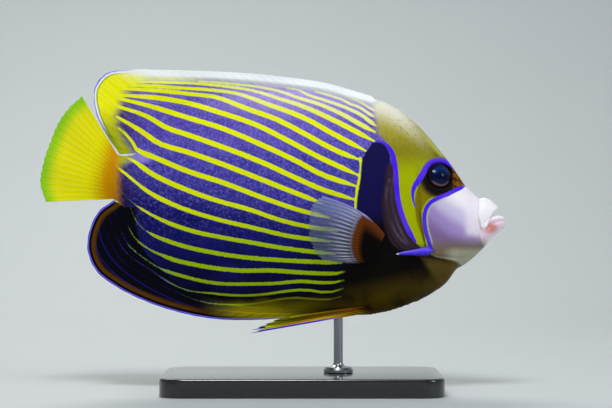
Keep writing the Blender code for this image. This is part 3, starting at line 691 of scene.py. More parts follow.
def skinPaint():
    # painted resin skin: satin, with a wet gloss over fine scales
    material = newMaterial("paintedSkin")
    x, z = sideView()
    wobble = plus(noise(1.5, 2), -0.5)
    slow, fine = noise(16, 3), noise(1.1, 2)
    tone, rimShade, fromTop = field("tone"), field("rimShade"), field("fromTop")
    dorsalRim, analRim, fromEye = field("dorsalRim"), field("analRim"), field("eyeDistance")
    stripe = plus(plus(field("stripe"), times(wobble, 0.3)), both(tone, (analRim, 12, 24), 0.12))
    cloud = times(plus(slow, -0.5), 9)
    belly = both((plus(z, cloud), 52, 43), (x, -40, -12), (x, 42, 2), 0.95)

    yellow = layers(
        paint["yellow"],
        (paint["yellowMid"], (z, 134, 108)),
        (paint["yellowLow"], (z, 106, 74)),
        ("#F4F4A8", (dorsalRim, 22, 8), (x, -45, 0)),
        ("#8E8C06", (z, 54, 50), (x, -20, 0)),
    )
    # on the anal fin the stripes turn to pale and then to blue hair lines
    inward = plus(plus(z, -76.5), times(plus(x, 75), 0.86))
    blueStripe = most(both((x, -76, -79), (z, 103, 99)), ramp(inward, 1, -4))
    blueStripe = times(blueStripe, ramp(x, -30, -45))
    paleStripe = most(ramp(inward, 9, -1), ramp(analRim, 15, 10))
    yellow = layers(
        yellow,
        ("#749C86", paleStripe, (x, -20, -45), 0.8),
        (paint["analBlue"], blueStripe),
        # darker olive at each scale's free edge: painted shade between the scales
        ("#7C8A00", (rimShade, 0.6, 0.95), 0.35),
    )
    anal = ramp(field("analFin"), 0.002, 0.008)
    tailward = both((x, -72, -75), (z, 100, 99))
    analGround = layers(paint["anal"], ("#0C0D34", (x, -50, 0)), (paint["belly"], belly))
    patch = edgeOf(plus(field("patch"), wobble), 0.5)
    fold = edgeOf(plus(field("gillFold"), wobble), 0.9, 0.35)

    base = layers(
        # flank, darker and bluer downwards and towards the tail
        paint["groundTop"],
        (paint["ground"], (z, 162, 142)),
        (paint["groundMid"], (z, 142, 120)),
        (paint["groundLow"], (plus(z, times(x, 0.18)), 112, 84)),
        (paint["groundDeep"], (z, 84, 58)),
        ("#2C2690", (slow, 0.42, 0.75), 0.35),
        ("#A49CF4", (fine, 0.52, 0.72), (z, 90, 140), 0.3),
        ("#5240B0", (x, 0, -40), (z, 124, 148), 0.7),
        ("#8E86E8", (tone, -0.3, 1.2), (z, 70, 120), 0.4),
        ("#140C70", (tone, 0.2, -1.2), 0.4),
        # darker at each scale's free edge: painted shade between the scales
        ("#0C0850", (rimShade, 0.6, 0.95), (dorsalRim, 4, 16), 0.4),
        ("#B4AEE4", (dorsalRim, 14, 6), (slow, 0.35, 0.65), (x, -30, 10), 0.35),
        # a lighter lavender patch along the top of the tail stalk: painted highlight
        ("#9A8EE8", (x, -62, -70), (z, 122, 125), (z, 131, 128)),
        # brown on the stalk, blackish towards the chest
        ("#2A1838", (x, -66, -84), 0.7),
        ("#060508", (x, 8, 38), (z, 92, 76), 0.85),
        (paint["bellyDark"], (z, 58, 50), (x, -66, -30)),
        (paint["belly"], belly),
        (analGround, most(anal, tailward)),
        (yellow, edgeOf(plus(stripe, times(blueStripe, 0.04)), 0.26)),
        ("#1E1896", edgeOf(field("fine"), 0.25), anal),
        # chest and throat
        (paint["chest"], edgeOf(plus(field("chest"), times(wobble, 3.0)), 2.6)),
        ("#64500A", (plus(z, times(x, -0.22)), 52, 36), (x, 16, 46), (slow, 0.25, 0.65), 0.65),
        (paint["throat"], edgeOf(field("throat"), 2.0)),
        # shoulder patch, and the folds of the gill opening over it
        (paint["navy"], patch),
        ("#0A0708", patch, (z, 100, 86)),
        ("#342630", edgeOf(field("gill"), 1.2)),
        ("#6A5E74", fold, (z, 72, 80), (slow, 0.35, 0.6), 0.75),
    )

    # head: white snout and lilac cheek, olive nape and mask
    slope = plus(plus(times(x, 0.55), times(z, 0.8)), times(slow, 4))
    white = layers(
        paint["snout"],
        (paint["cheekHigh"], (slope, 140, 133)),
        (paint["cheekMid"], (slope, 133, 126)),
        (paint["cheekLow"], (slope, 126, 119)),
        ("#EEE6F0", (x, 101, 107), (z, 82, 87), 0.9),
        ("#7C6C58", (z, 86, 76)),
        (paint["chin"], (z, 79, 75), (x, 90, 98)),
        ("#B8C486", edgeOf(field("cheekInner"), 0.6, 1.8), (z, 78, 82), (z, 106, 101)),
    )
    speckle = ramp(noise(1.3, 4, 0.7, (0.8, 1, 1)), 0.48, 0.7)
    freckles = layers("#8A5208", ("#341A06", (noise(2.2, 3), 0.42, 0.6)))
    nape = layers(
        paint["nape"],
        ("#8E8818", (z, 146, 128)),
        (paint["napeTop"], (fromTop, 15, 1), (x, 88, 66)),
        ("#6E5A14", speckle, (z, 156, 140), 0.5),
        (paint["band"], (z, 130, 116)),
        ("#6A6250", (z, 81, 77)),
        ("#6A6A0A", (slow, 0.5, 0.62), (z, 110, 122), (z, 134, 128), 0.7),
        # a pale band along the top of the forehead: painted highlight
        ("#C6C870", (fromTop, 6, 1), (x, 76, 84), (x, 96, 90)),
        (paint["mask"], edgeOf(field("mask"), 0.6)),
        ("#1B1108", edgeOf(field("seam"), 0.6, 0.5), (z, 100, 94), 0.85),
        # shade round the eye, a pale brow over it, freckles at the nostrils
        ("#1C160A", (fromEye, 14, 10), (z, 120, 114), 0.75),
        (paint["maskDark"], edgeOf(plus(field("eyeShade"), wobble), 1.8, 10.2)),
        ("#7A6C66", (fromEye, 7.6, 8.6), (fromEye, 10.5, 9.5), (z, 115, 120), 0.8),
        (freckles, (x, 96, 98), (z, 108.5, 110), (z, 121, 118), 0.9),
        (white, edgeOf(field("cheek"), 0.3)),
    )
    # blue lines, the dorsal fin's rear lobe, the tail fin
    blue = layers(paint["blue"], ("#5E38E4", (slow, 0.4, 0.65)))
    lobe = layers(paint["lobe"], (paint["lobeLow"], (z, 156, 138)))
    streaks = times(plus(noise(3, 2, 0.5, (0.15, 1, 1)), -0.5), 5)
    back = field("caudalFin")
    yellowTail = layers(
        paint["caudalBase"],
        (paint["caudal"], (back, 0.06, 0.42)),
        (paint["caudalEdge"], (back, 0.78, 0.98), 0.9),
        (paint["caudalEdge"], (z, 146, 162), 0.45),
    )
    stalk = most(ramp(plus(x, times(wobble, 3)), -79.5, -86), ramp(back, 0.0, 0.01))
    base = layers(
        base,
        (nape, edgeOf(plus(field("nape"), times(wobble, 2.0)), 2.2)),
        (nape, edgeOf(plus(field("face"), wobble), 0.35)),
        (blue, edgeOf(plus(field("blueLine"), times(wobble, 0.35)), 0.28)),
        # dorsal fin: yellow rear lobe, milky edge with a violet rim behind
        (lobe, edgeOf(plus(field("lobe"), streaks), 3.4)),
        ("#EEF4A0", (dorsalRim, 8.5, 4.5), (x, -84, -66), (x, -20, -55), (z, 156, 163), 0.85),
        ("#CBD8B4", (dorsalRim, 7.5, 3.5), (x, -50, -20), 0.7),
        (paint["pale"], (dorsalRim, 4.6, 2.6), (x, -88, -62), (z, 145, 153)),
        ("#4A7A00", (dorsalRim, 2.6, 1.9), (x, -76, -90), (z, 126, 136), 0.7),
        (paint["pale"], (dorsalRim, 1.8, 1.3), (z, 138, 150)),
        (paint["finEdge"], (dorsalRim, 0.8, 0.4), (x, -70, -86), (z, 134, 144)),
        # anal fin: brown band inside a bright blue edge
        (paint["analBrown"], (analRim, 2.0, 2.6), (analRim, 5.6, 3.2), anal, (x, -20, -50)),
        ("#03030A", (analRim, 2.3, 1.8), anal, (x, 5, -40)),
        (paint["finEdge"], (analRim, 1.1, 0.7), anal, (x, 10, -20)),
        ("#2418E8", (analRim, 0.6, 0.3), anal, (x, 10, -20)),
        (yellowTail, stalk, (field("dorsalFin"), 0.02, 0.0), (field("analFin"), 0.02, 0.0)),
        # rays show a little paler than the membrane
        ("#F8F8A0", field("ray"), (field("span"), 0.1, 0.5), (z, 100, 104), 0.08),
    )
    grain = bump(noise(0.9, 3, 0.6), 0.05)
    return finished(material, Base_Color=base, Roughness=0.38, Specular_IOR_Level=0.05, Normal=grain)


def pectoralPaint():
    # cast clear resin, tinted lavender, with milky rays and a brown fleshy base
    material = newMaterial("clearFinResin")
    ray, span, across = field("ray"), field("span"), field("across")
    leading = ramp(across, -0.1, -0.9)
    whiteRay = both(ray, (span, 0.85, 0.5))
    dark = both((span, 0.35, 0.24), (across, -0.95, -0.4))
    edge = both((across, -0.9, -0.97), (span, 0.2, 0.4))
    base = layers(
        "#6E7A92",
        ("#8E9AC4", leading),
        ("#E2D8EC", whiteRay, 0.85),
        ("#8A4408", ray, (span, 0.5, 0.36)),
        ("#5E2E08", most(ramp(field("lobe"), 0.3, 0.6), ramp(span, 0.43, 0.37))),
        ("#050302", most(dark, ramp(across, 0.55, 0.95))),
        ("#8F92D0", edge),
    )
    solid = most(plus(0.24, times(whiteRay, 0.46)), times(leading, 0.55))
    solid = most(most(solid, ramp(span, 0.5, 0.36)), times(edge, 0.7))
    grain = bump(noise(1.2, 3), 0.05)
    return finished(
        material, Base_Color=base, Alpha=solid, Roughness=0.45, Specular_IOR_Level=0.05, Normal=grain,
    )


def pelvicPaint():
    # painted resin: yellow brown blades with a violet leading edge
    material = newMaterial("paintedFinResin")
    ray, span, across = field("ray"), field("span"), field("across")
    base = layers(
        "#4A3206",
        ("#D8A200", (span, 0.15, 0.5)),
        ("#D0DC00", (span, 0.75, 0.95)),
        ("#F0DC00", ray, 0.4),
        ("#2E2606", (across, 0.45, 0.7), (across, 0.95, 0.8), 0.8),
        ("#2A1C04", (ray, 0.5, 0.1), (across, 0.2, 0.5), (span, 0.15, 0.4), 0.7),  # between the rays
        ("#B04408", (across, 0.5, 0.9), (span, 0.5, 0.2), 0.6),
        ("#3E24F4", (across, 0.2, 0.13), (span, 0.25, 0.5)),
        ("#2A2006", (span, 0.16, 0.03)),
    )
    return finished(material, Base_Color=base, Roughness=0.45, Specular_IOR_Level=0.06)


def lipPaint():
    # painted resin with a moist gloss: white, pink inside, painted shade in the folds
    material = newMaterial("paintedLip")
    x, z = sideView()
    lower, rim = field("lower"), field("rimWidth")
    leaning = plus(x, times(plus(z, -92), 0.3))
    base = layers(
        "#F4F1F6",
        ("#F2DAE8", lower, (rim, 0.5, 1.6)),
        ("#D87C6A", (field("salmon"), 0.2, 0.9), 0.9),
        ("#A8A48E", lower, (z, 84, 79), (x, 117.5, 113)),
        # painted shade in the groove behind the lips
        ("#C09A9C", (leaning, 109.6, 110.6), (leaning, 112, 111), (z, 98, 94), (z, 85, 88), 0.6),
    )
    grain = bump(noise(0.8, 3), 0.05)
    return finished(
        material, Base_Color=base, Roughness=0.38, Normal=grain,
        Subsurface_Weight=0.12, Subsurface_Scale=1.5 * mm,
    )


def eyePaint():
    # painted glass eye under a clear polished cornea
    material = newMaterial("glassEye")
    up = field("up")
    radius = plus(field("out"), times(plus(noise(1.2, 2), -0.5), 0.6))
    base = layers(
        "#050304",
        ("#1C1014", (radius, 7.0, 6.4)),
        ("#0A0610", (radius, 6.4, 5.6)),
        ("#7A5460", (radius, 6.4, 5.9), (radius, 4.9, 5.2), (up, -1.5, -3.5), 0.8),  # pale crescent
        ("#010A3C", (radius, 5.5, 5.1)),
        # lighter blue over the upper part of the pupil: painted reflection
        ("#123A90", (radius, 5.2, 3.4), (up, 0.4, 3.0), 0.6),
        ("#010412", (radius, 4.4, 1.6), 0.7),
    )
    return finished(material, Base_Color=base, Roughness=0.1, Specular_IOR_Level=0.14)


def spinePaint():
    # polished horn, dyed violet blue, with a bare whitish tip; painted highlight along its top and painted
    # shade underneath
    material = newMaterial("polishedHorn")
    span, level = field("span"), field("level")
    base = layers(
        "#4226DC",
        # lighter over the top and darker underneath: painted highlight and painted shade
        ("#6E54F0", (level, -0.2, 0.8)),
        ("#2A1AB4", (level, -0.3, -0.9)),
        ("#E4DCE8", (span, 0.9, 0.97)),
        ("#7A6AE0", (noise(0.8, 2, 0.5, (0.12, 1, 1)), 0.5, 0.7), 0.4),
    )
    return finished(material, Base_Color=base, Roughness=0.3, Specular_IOR_Level=0.2)


def toothPaint():
    # glazed ceramic: warm ivory with a faint darker mottle
    material = newMaterial("ivoryCeramic")
    base = layers("#FBF2E4", ("#E6C8B4", noise(2), 0.4))
    return finished(material, Base_Color=base, Roughness=0.25)


def lacquerPaint():
    # black piano lacquer over board: deep and glossy, with the faintest orange peel
    material = newMaterial("blackLacquer")
    base = layers("#0C0C0E", ("#1A1A1D", noise(12, 3)))
    grain = bump(noise(2.5, 2), 0.02)
    return finished(
        material, Base_Color=base, Roughness=0.22, Coat_Weight=0.6, Coat_Roughness=0.05, Normal=grain,
    )


def steelPaint():
    # turned stainless steel: fine rings round the rod scatter the highlight
    material = newMaterial("turnedSteel")
    base = layers("#B4B6BA", ("#8E9196", noise(3, 3, 0.6, (1, 1, 6))))
    grain = bump(noise(0.5, 2, 0.5, (0.1, 0.1, 3)), 0.01)
    return finished(material, Base_Color=base, Metallic=1.0, Roughness=0.24, Normal=grain)


# Meshes

def meshPiece(name, points, faces, material, fields):
    # points in millimetres as an array of X, Y, Z
    mesh = bpy.data.meshes.new(name)
    points = np.asarray(points, np.float32) * mm
    faces = np.asarray(faces, np.int32)
    mesh.vertices.add(len(points))
    mesh.vertices.foreach_set("co", points.ravel())
    corners = faces.shape[1]
    mesh.loops.add(faces.size)
    mesh.loops.foreach_set("vertex_index", faces.ravel())
    mesh.polygons.add(len(faces))
    mesh.polygons.foreach_set("loop_start", np.arange(0, faces.size, corners, dtype=np.int32))
    mesh.polygons.foreach_set("loop_total", np.full(len(faces), corners, np.int32))
    mesh.update(calc_edges=True)
    for key, values in fields.items():
        layer = mesh.attributes.new(key, "FLOAT", "POINT")
        layer.data.foreach_set("value", np.asarray(values, np.float32).ravel())
    mesh.validate()
    mesh.shade_smooth()
    mesh.materials.append(material)
    return link(bpy.data.objects.new(name, mesh))


def outwards(piece):
    work = bmesh.new()
    work.from_mesh(piece.data)
    bmesh.ops.recalc_face_normals(work, faces=work.faces)
    work.to_mesh(piece.data)
    work.free()
    return piece


def gridFaces(columns, rows, first=0, turned=False):
    # quads between neighbouring columns and rows
    i, j = np.meshgrid(np.arange(columns - 1), np.arange(rows - 1), indexing="ij")
    a = (first + i * rows + j).ravel()
    quads = np.stack([a, a + rows, a + rows + 1, a + 1], axis=-1)
    return quads[:, ::-1] if turned else quads


def roundFaces(rings, sides):
    # quads between neighbouring rings of points
    i, j = np.meshgrid(np.arange(rings - 1), np.arange(sides), indexing="ij")
    a, b = (i * sides + j).ravel(), (i * sides + (j + 1) % sides).ravel()
    return np.stack([a, b, b + sides, a + sides], axis=-1)


def ringSolid(name, rings, material, angle):
    # a closed solid over rings of points, with flat ends; edges over the angle stay crisp
    count = len(rings[0])
    ends = [list(range(count)), list(range((len(rings) - 1) * count, len(rings) * count))]
    mesh = bpy.data.meshes.new(name)
    mesh.from_pydata(np.concatenate(rings) * mm, [], roundFaces(len(rings), count).tolist() + ends)
    mesh.shade_smooth()
    mesh.set_sharp_from_angle(angle=math.radians(angle))
    mesh.materials.append(material)
    return outwards(link(bpy.data.objects.new(name, mesh)))


def closedSlab(name, x, z, right, left, material, fields):
    # a closed skin over a side-view grid, between the Y heights of its two faces
    columns, rows = x.shape
    count = columns * rows
    points = np.concatenate([np.stack([x, y, z], axis=-1).reshape(-1, 3) for y in (right, left)])
    rim = [i * rows for i in range(columns)]
    rim += [(columns - 1) * rows + j for j in range(1, rows)]
    rim += [i * rows + rows - 1 for i in range(columns - 2, -1, -1)]
    rim += [j for j in range(rows - 2, 0, -1)]
    rim = np.array(rim)
    after = np.roll(rim, -1)
    sides = np.stack([after, rim, rim + count, after + count], axis=-1)
    faces = np.concatenate([gridFaces(columns, rows), gridFaces(columns, rows, count, True), sides])
    twice = {key: np.tile(values.ravel(), 2) for key, values in fields.items()}
    return outwards(meshPiece(name, points, faces, material, twice))


def wear(piece, slot, *nodes):
    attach(piece, "root")
    if nodes:
        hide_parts(*nodes)
    return piece


# Body skin: head, gill covers, flanks and tail stalk in one

skinGrid = {"tail": -84.4, "neck": 50.0, "mouth": 112.0, "torsoStep": 1.1, "headStep": 0.44, "rows": 186}


def bodyGrid(places, v):
    # side-view points: places run from the tail line to the mouth line, v from the back down
    u = (places - skinGrid["tail"]) / (skinGrid["mouth"] - skinGrid["tail"])
    tail, mouth = curve(body["tail"], 200), curve(body["mouth"], 200)
    share = np.linspace(0, 1, 200)
    x = np.interp(v, share, tail[:, 0])[None] * (1 - u[:, None])
    x = x + np.interp(v, share, mouth[:, 0])[None] * u[:, None]
    top, bottom = profile(body["top"], x), profile(body["bottom"], x)
    return x, top + (bottom - top) * v[None]


def makeSkin(material):
    torso = np.arange(skinGrid["tail"], skinGrid["neck"], skinGrid["torsoStep"])
    face = np.arange(skinGrid["neck"], skinGrid["mouth"], skinGrid["headStep"])
    plain = np.linspace(0, 1, skinGrid["rows"])
    v = 0.45 * plain + 0.55 * (0.5 - 0.5 * np.cos(math.pi * plain))
    x, z = bodyGrid(np.concatenate([torso, face, [skinGrid["mouth"]]]), v)
    half = skinWidth(x, z)
    piece = closedSlab("bodySkin", x, z, -half, half, material, painted(x, z))
    wear(piece, "flank_skin", "head", "torso", "tail_stalk", "gill_cover_right", "gill_cover_left")


# Fins

fins = {
    "dorsal": {
        "roots": [55, 36.5, 15, -4, -23, -39, -51, -59, -64.5, -68.5, -71, -73],
        "tips": [
            (53.5, 159.4), (28.5, 166.5), (4, 170), (-17.5, 172), (-40, 173), (-61, 173.6), (-77, 173.6),
            (-90, 171.5), (-96, 164), (-95, 149.5), (-90, 139), (-82.5, 128),
        ],
        "rays": 34, "spines": 14, "perRay": 12, "rows": 64, "hollow": 1.5, "notch": 0.25,
        "rayRise": 0.65, "scaled": (
            0.34, 0.62,
        ),  # share of the fin's height under scales, in front and behind
    },
    "anal": {
        "roots": [31, 18, 4, -15, -31, -44.5, -54.5, -63.5, -70.5, -73.5, -77, -81.5],
        "tips": [
            (29.5, 40.6), (10.5, 39.6), (-9.5, 38.5), (-31, 39), (-50, 42.5), (-68.5, 48.5), (-84.5, 56.5),
            (-95.5, 65.5), (-100, 77.5), (-98.5, 88), (-94, 97), (-86, 103),
        ],
        "rays": 23, "spines": 3, "perRay": 14, "rows": 64, "hollow": 1.5, "notch": 0.2,
        "scaled": (0.4, 0.55), "rayRise": 1,
    },
    "caudal": {
        "roots": [127.2, 123.5, 119.5, 115.5, 111.5, 107.5, 103.8],
        "tips": [
            (-103, 159.5), (-110, 153), (-116, 144.5), (-120.5, 133.5), (-124, 122.5), (-125.5, 112),
            (-122.5, 102.3),
        ],
        "rays": 17, "spines": 0, "perRay": 16, "rows": 90, "hollow": 2.2, "notch": 0.5,
        "scaled": (0.17, 0.17), "rayRise": 0.55,
    },
    "pectoral": {
        "guides": [
            ((60, 85), (26.5, 105.5)), ((58.8, 82), (21.5, 101)), ((57.8, 79), (19.5, 91)),
            ((56.8, 76), (20.5, 81)), ((55.8, 73), (26, 72.3)), ((55, 70.5), (37, 69.7)),
        ],
        "rays": 20, "spines": 0, "perRay": 10, "rows": 80, "standOff": 8.5, "bow": (3.6, 1.2),
    },
    "pelvic": {
        "guides": [
            ((56, 43.3), (-12, 32)), ((54.6, 44.3), (-7, 34.2)), ((53.3, 45.4), (0, 37.2)),
            ((52, 46.6), (10, 41)),
        ],
        "rays": 6, "spines": 1, "perRay": 12, "rows": 110,
    },
    "membrane": 0.17,
    "softRay": 0.28,
    "spine": 0.4,
    "ripple": 0.5,
    "gap": 0.3,
}


finShapes = {}


def onBack(x):
    return np.stack([x, profile(body["top"], x)], axis=-1)


def onBelly(x):
    return np.stack([x, profile(body["bottom"], x)], axis=-1)


def onTail(z):
    upwards = [(height, x) for x, height in reversed(body["tail"])]
    return np.stack([profile(upwards, z), z], axis=-1)


def finLines(spec, seat=None):
    # root and tip of every line across a fin, and its place counted in rays
    if seat is None:
        roots, tips = (np.array(side, float) for side in zip(*spec["guides"]))
        knots = roots
    else:
        roots, tips = np.array(spec["roots"], float), np.array(spec["tips"], float)
        knots = seat(roots)
    measure = (chords(knots) + chords(tips)) / 2
    phase = np.linspace(0, spec["rays"] - 1, (spec["rays"] - 1) * spec["perRay"] + 1)
    places = phase / (spec["rays"] - 1) * measure[-1]
    root = smoothAt(measure, roots, places)
    return phase, root if seat is None else seat(root), smoothAt(measure, tips, places)


def ridges(phase, v, spines):
    # 1 on a ray, 0 on the membrane; soft rays part in two and again in two towards the edge
    nearest = np.round(phase)
    d = phase - nearest
    spiny = nearest < spines
    first = 0.21 * ease(0.3, 1.0, v)
    second = 0.09 * ease(0.62, 1.0, v)
    ridge = np.zeros(np.broadcast(phase, v).shape)
    width = 0.13 - 0.05 * v
    for a in (-1, 1):
        for b in (-1, 1):
            ridge = np.maximum(ridge, np.exp(-(((d - a * first - b * second) / width) ** 2)))
    return np.where(spiny, np.exp(-((d / (0.15 - 0.07 * v)) ** 2)), ridge), d


def medianFin(name, seat, material, slot, node):
    spec = fins[name]
    phase, root, tip = finLines(spec, seat)
    length = np.linalg.norm(tip - root, axis=1)
    v = np.linspace(0, 1, spec["rows"])[None] ** 0.9
    ridge, d = ridges(phase[:, None], v, spec["spines"])
    # the edge draws back between rays
    draw = spec["notch"] * (2 * np.abs(d[:, -1])) ** 1.5
    reach = np.clip(1 - draw / np.maximum(length, 4), 0.5, 1)
    sink = -1.0 / length
    at = sink[:, None] + (reach - sink)[:, None] * v
    grid = root[:, None] + (tip - root)[:, None] * at[..., None]
    x, z = grid[..., 0], grid[..., 1]
    foot = halfWidth(root[:, 0], root[:, 1])[:, None]
    at = np.clip(at, 0, 1)
    # the scaly base hides the rays
    covered = np.linspace(*spec["scaled"], len(phase))[:, None]
    spiny = np.round(phase[:, None]) < spec["spines"]
    rise = np.where(spiny, fins["spine"] * (1 - 0.6 * at), fins["softRay"] * (1 - 0.7 * at)) * spec["rayRise"]
    half = fins["membrane"] + (foot - fins["membrane"]) * (1 - at) ** spec["hollow"]
    half = half + rise * ridge * ease(-0.12, 0.02, at - covered)
    half = half - body["coat"] * ease(0.05, -0.05, at - covered)
    half = np.maximum(half * np.where(v == 1, 0.45, 1), 0.06)
    sway = fins["ripple"] * np.sin(phase[:, None] * 0.9 + 2.2 * at) * at**2 * ease(0, 3, phase[:, None])
    fields = painted(x, z)
    fields["ray"], fields["span"] = ridge, at
    finShapes[name] = {"root": root, "tip": tip, "length": length, "half": half, "sway": sway, "at": at}
    piece = closedSlab(name + "Fin", x, z, sway - half, sway + half, material, fields)
    return wear(piece, slot, node)


def pectoralFin(side, sideName, material):
    spec = fins["pectoral"]
    phase, root, tip = finLines(spec)
    v = np.linspace(0, 1, spec["rows"])[None]
    across = np.linspace(-1, 1, len(phase))[:, None]
    ridge, d = ridges(phase[:, None], v, 0)
    reach = 1 - 0.9 * (2 * np.abs(d[:, -1:])) ** 1.5 / 35
    grid = root[:, None] + (tip - root)[:, None] * (v * reach)[..., None]
    # the leading rays bow upwards, the last ones down
    way = (tip - root) / np.linalg.norm(tip - root, axis=1)[:, None]
    bow = spec["bow"][0] * ease(0.4, -1, across) - spec["bow"][1] * ease(0.2, 1, across)
    bow = bow * np.sin(math.pi * v**0.9)
    x, z = grid[..., 0] + way[:, 1:] * bow, grid[..., 1] - way[:, :1] * bow
    lobe = np.sin(math.pi * np.clip(0.12 + v / 0.54, 0, 1)) ** 0.8 * np.sqrt(1 - 0.8 * across**2)
    inner = halfWidth(x, z) + fins["gap"] + spec["standOff"] * v**1.6
    middle = inner + 0.3 + 1.2 * lobe + 0.5 * np.sin(phase[:, None] * 0.8) * v**2
    half = 0.13 + 1.2 * lobe + 0.26 * ridge * (1 - 0.7 * v) * ease(0.1, 0.3, v)
    half = half * np.where(v == 1, 0.4, 1) * (0.35 + 0.65 * ease(1.0, 0.93, np.abs(across)))
    fields = {
        "ray": ridge * ease(0.05, 0.3, v), "span": v + 0 * x, "across": across + 0 * x, "lobe": lobe,
    }
    name = "pectoralFin_" + sideName
    piece = closedSlab(name, x, z, side * middle - half, side * middle + half, material, fields)
    return wear(piece, "pectoral_skin", "pectoral_fin_" + sideName)


def pelvicFin(side, sideName, material):
    spec = fins["pelvic"]
    phase, root, tip = finLines(spec)
    v = np.linspace(0, 1, spec["rows"])[None]
    ridge, d = ridges(phase[:, None], v * 0.7, spec["spines"])
    reach = 1 - 3.0 * (2 * np.abs(d[:, -1:])) ** 1.5 / 60
    grid = root[:, None] + (tip - root)[:, None] * (v * reach)[..., None]
    x, z = grid[..., 0], grid[..., 1]
    surface = halfWidth(x, z) + fins["gap"]
    thickness = 0.5 + 2.6 * np.sqrt(v + 0.01) * (1 - v) ** 3
    ripple = 0.5 * np.sin(phase[:, None] * 2.2) * v * (1 - 0.5 * v)
    middle = np.maximum(surface, 4.4 + 9.5 * v) + thickness / 2 + ripple
    half = 0.15 + 1.2 * np.sqrt(v + 0.01) * (1 - v) ** 3 + 0.35 * ridge * (1 - 0.6 * v)
    half = half * np.where(v == 1, 0.4, 1)
    fields = {"ray": ridge, "span": v + 0 * x, "across": phase[:, None] / (spec["rays"] - 1) + 0 * x}
    name = "pelvicFin_" + sideName
    piece = closedSlab(name, x, z, side * middle - half, side * middle + half, material, fields)
    return wear(piece, "pelvic_skin", "pelvic_fin_" + sideName)


# Lips and teeth

lips = {
    "upperTop": [(109.5, 104.4), (111.5, 104), (114.5, 104.4), (118, 103), (120, 101.2), (121.5, 99.8)],
    "upperBottom": [
        (109, 88.8), (111, 87.2), (114.6, 87), (116.2, 90), (117, 93.6), (119.2, 96.8), (121.5, 99.1),
    ],
    "lowerTop": [
        (109, 90), (112, 91), (115.4, 92.6), (117.2, 93.8), (118.6, 94.2), (121.5, 94.6), (124.8, 94.2),
    ],
    "lowerBottom": [(112, 75.6), (114.3, 77.8), (117, 80.5), (120.5, 84), (124, 87)],
    "lowerFront": [(124.8, 94.2), (125.7, 91), (124, 87)],
    "halfWidth": {"upper": 8.6, "lower": 8.2},
    "back": 108,
    "reach": {"upper": 14.2, "lower": 18.2},
    "columns": 70,
    "rows": 60,
}
teeth = {
    "count": 18, "spread": 34, "upperReach": 11.6, "lowerReach": 14.4,
    "length": 1.3, "radius": 0.32, "tipRadius": 0.03, "lean": 0.35, "sides": 8, "levels": 5,
}


def between(first, last, top, bottom):
    # a grid over four edges: first and last run downwards, top and bottom forwards
    u = np.linspace(0, 1, lips["columns"])[:, None, None]
    plain = np.linspace(0, 1, lips["rows"])
    level = 0.4 * plain + 0.6 * (0.5 - 0.5 * np.cos(math.pi * plain))
    v = level[None, :, None]
    edges = [curve(e, 200) for e in (first, last, top, bottom)]
    share = np.linspace(0, 1, 200)

    def read(edge, at):
        return np.stack([np.interp(at, share, edge[:, i]) for i in range(2)], axis=-1)

    first, last = read(edges[0], level), read(edges[1], level)
    top, bottom = read(edges[2], u.ravel()), read(edges[3], u.ravel())
    corners = (1 - u) * ((1 - v) * top[0] + v * bottom[0]) + u * ((1 - v) * top[-1] + v * bottom[-1])
    grid = (1 - v) * top[:, None] + v * bottom[:, None] + (1 - u) * first[None] + u * last[None]
    return grid - corners, level


def makeLips(material):
    shapes = {
        "upper": (
            [lips["upperTop"][0], (109, 96), lips["upperBottom"][0]],
            [lips["upperTop"][-1], (121.6, 99.45), lips["upperBottom"][-1]],
            lips["upperTop"], lips["upperBottom"],
        ),
        "lower": (
            [lips["lowerTop"][0], (109.5, 82), lips["lowerBottom"][0]], lips["lowerFront"],
            lips["lowerTop"], lips["lowerBottom"],
        ),
    }
    for name, (first, last, top, bottom) in shapes.items():
        grid, level = between(first, last, top, bottom)
        x, z = grid[..., 0], grid[..., 1]
        out = np.clip((x - lips["back"]) / lips["reach"][name], 0, 0.99)
        # each lip is broad at the mouth and narrow away from it, with a soft rim
        away = 1 - level if name == "upper" else level
        roll = 0.05 + 0.95 * np.sqrt(np.clip(1 - away**2.2, 0, 1)) * (1 - 0.24 * ease(0.13, 0, away) ** 1.5)
        wide = lips["halfWidth"][name] * np.sqrt(1 - out**2) * roll[None]
        free = np.clip((x - 110) / (5 if name == "upper" else 7), 0, 1)
        half = wide * free + (halfWidth(x, z) - 0.7) * (1 - free)
        # soft folds: a groove behind the lip's rim, fine wrinkles along it
        rim = np.minimum(level, 1 - level)[None] * np.linalg.norm(np.array(top[3]) - np.array(bottom[3]))
        half = half - 0.35 * np.exp(-(((rim - 3.0) / 0.7) ** 2)) * free
        half = half + 0.04 * np.sin(x * 5.0 + 2.0 * np.sin(z * 1.3)) * free
        # the lower lip tucks in under the lobe of the upper one
        if name == "lower":
            half = half - 1.3 * ease(118.5, 116, x) * ease(86, 89, z) * free
        half = np.maximum(half, 0.3)
        fields = {"rimWidth": rim + 0 * x, "lower": 0 * x + (name == "lower")}
        fields["salmon"] = np.exp(-(((x - 116.8) / 5.2) ** 2) - ((z - 88.2) / 3.3) ** 2) * fields["lower"]
        piece = closedSlab(name + "Lip", x, z, -half, half, material, fields)
        wear(piece, "lip_skin", name + "_lip")


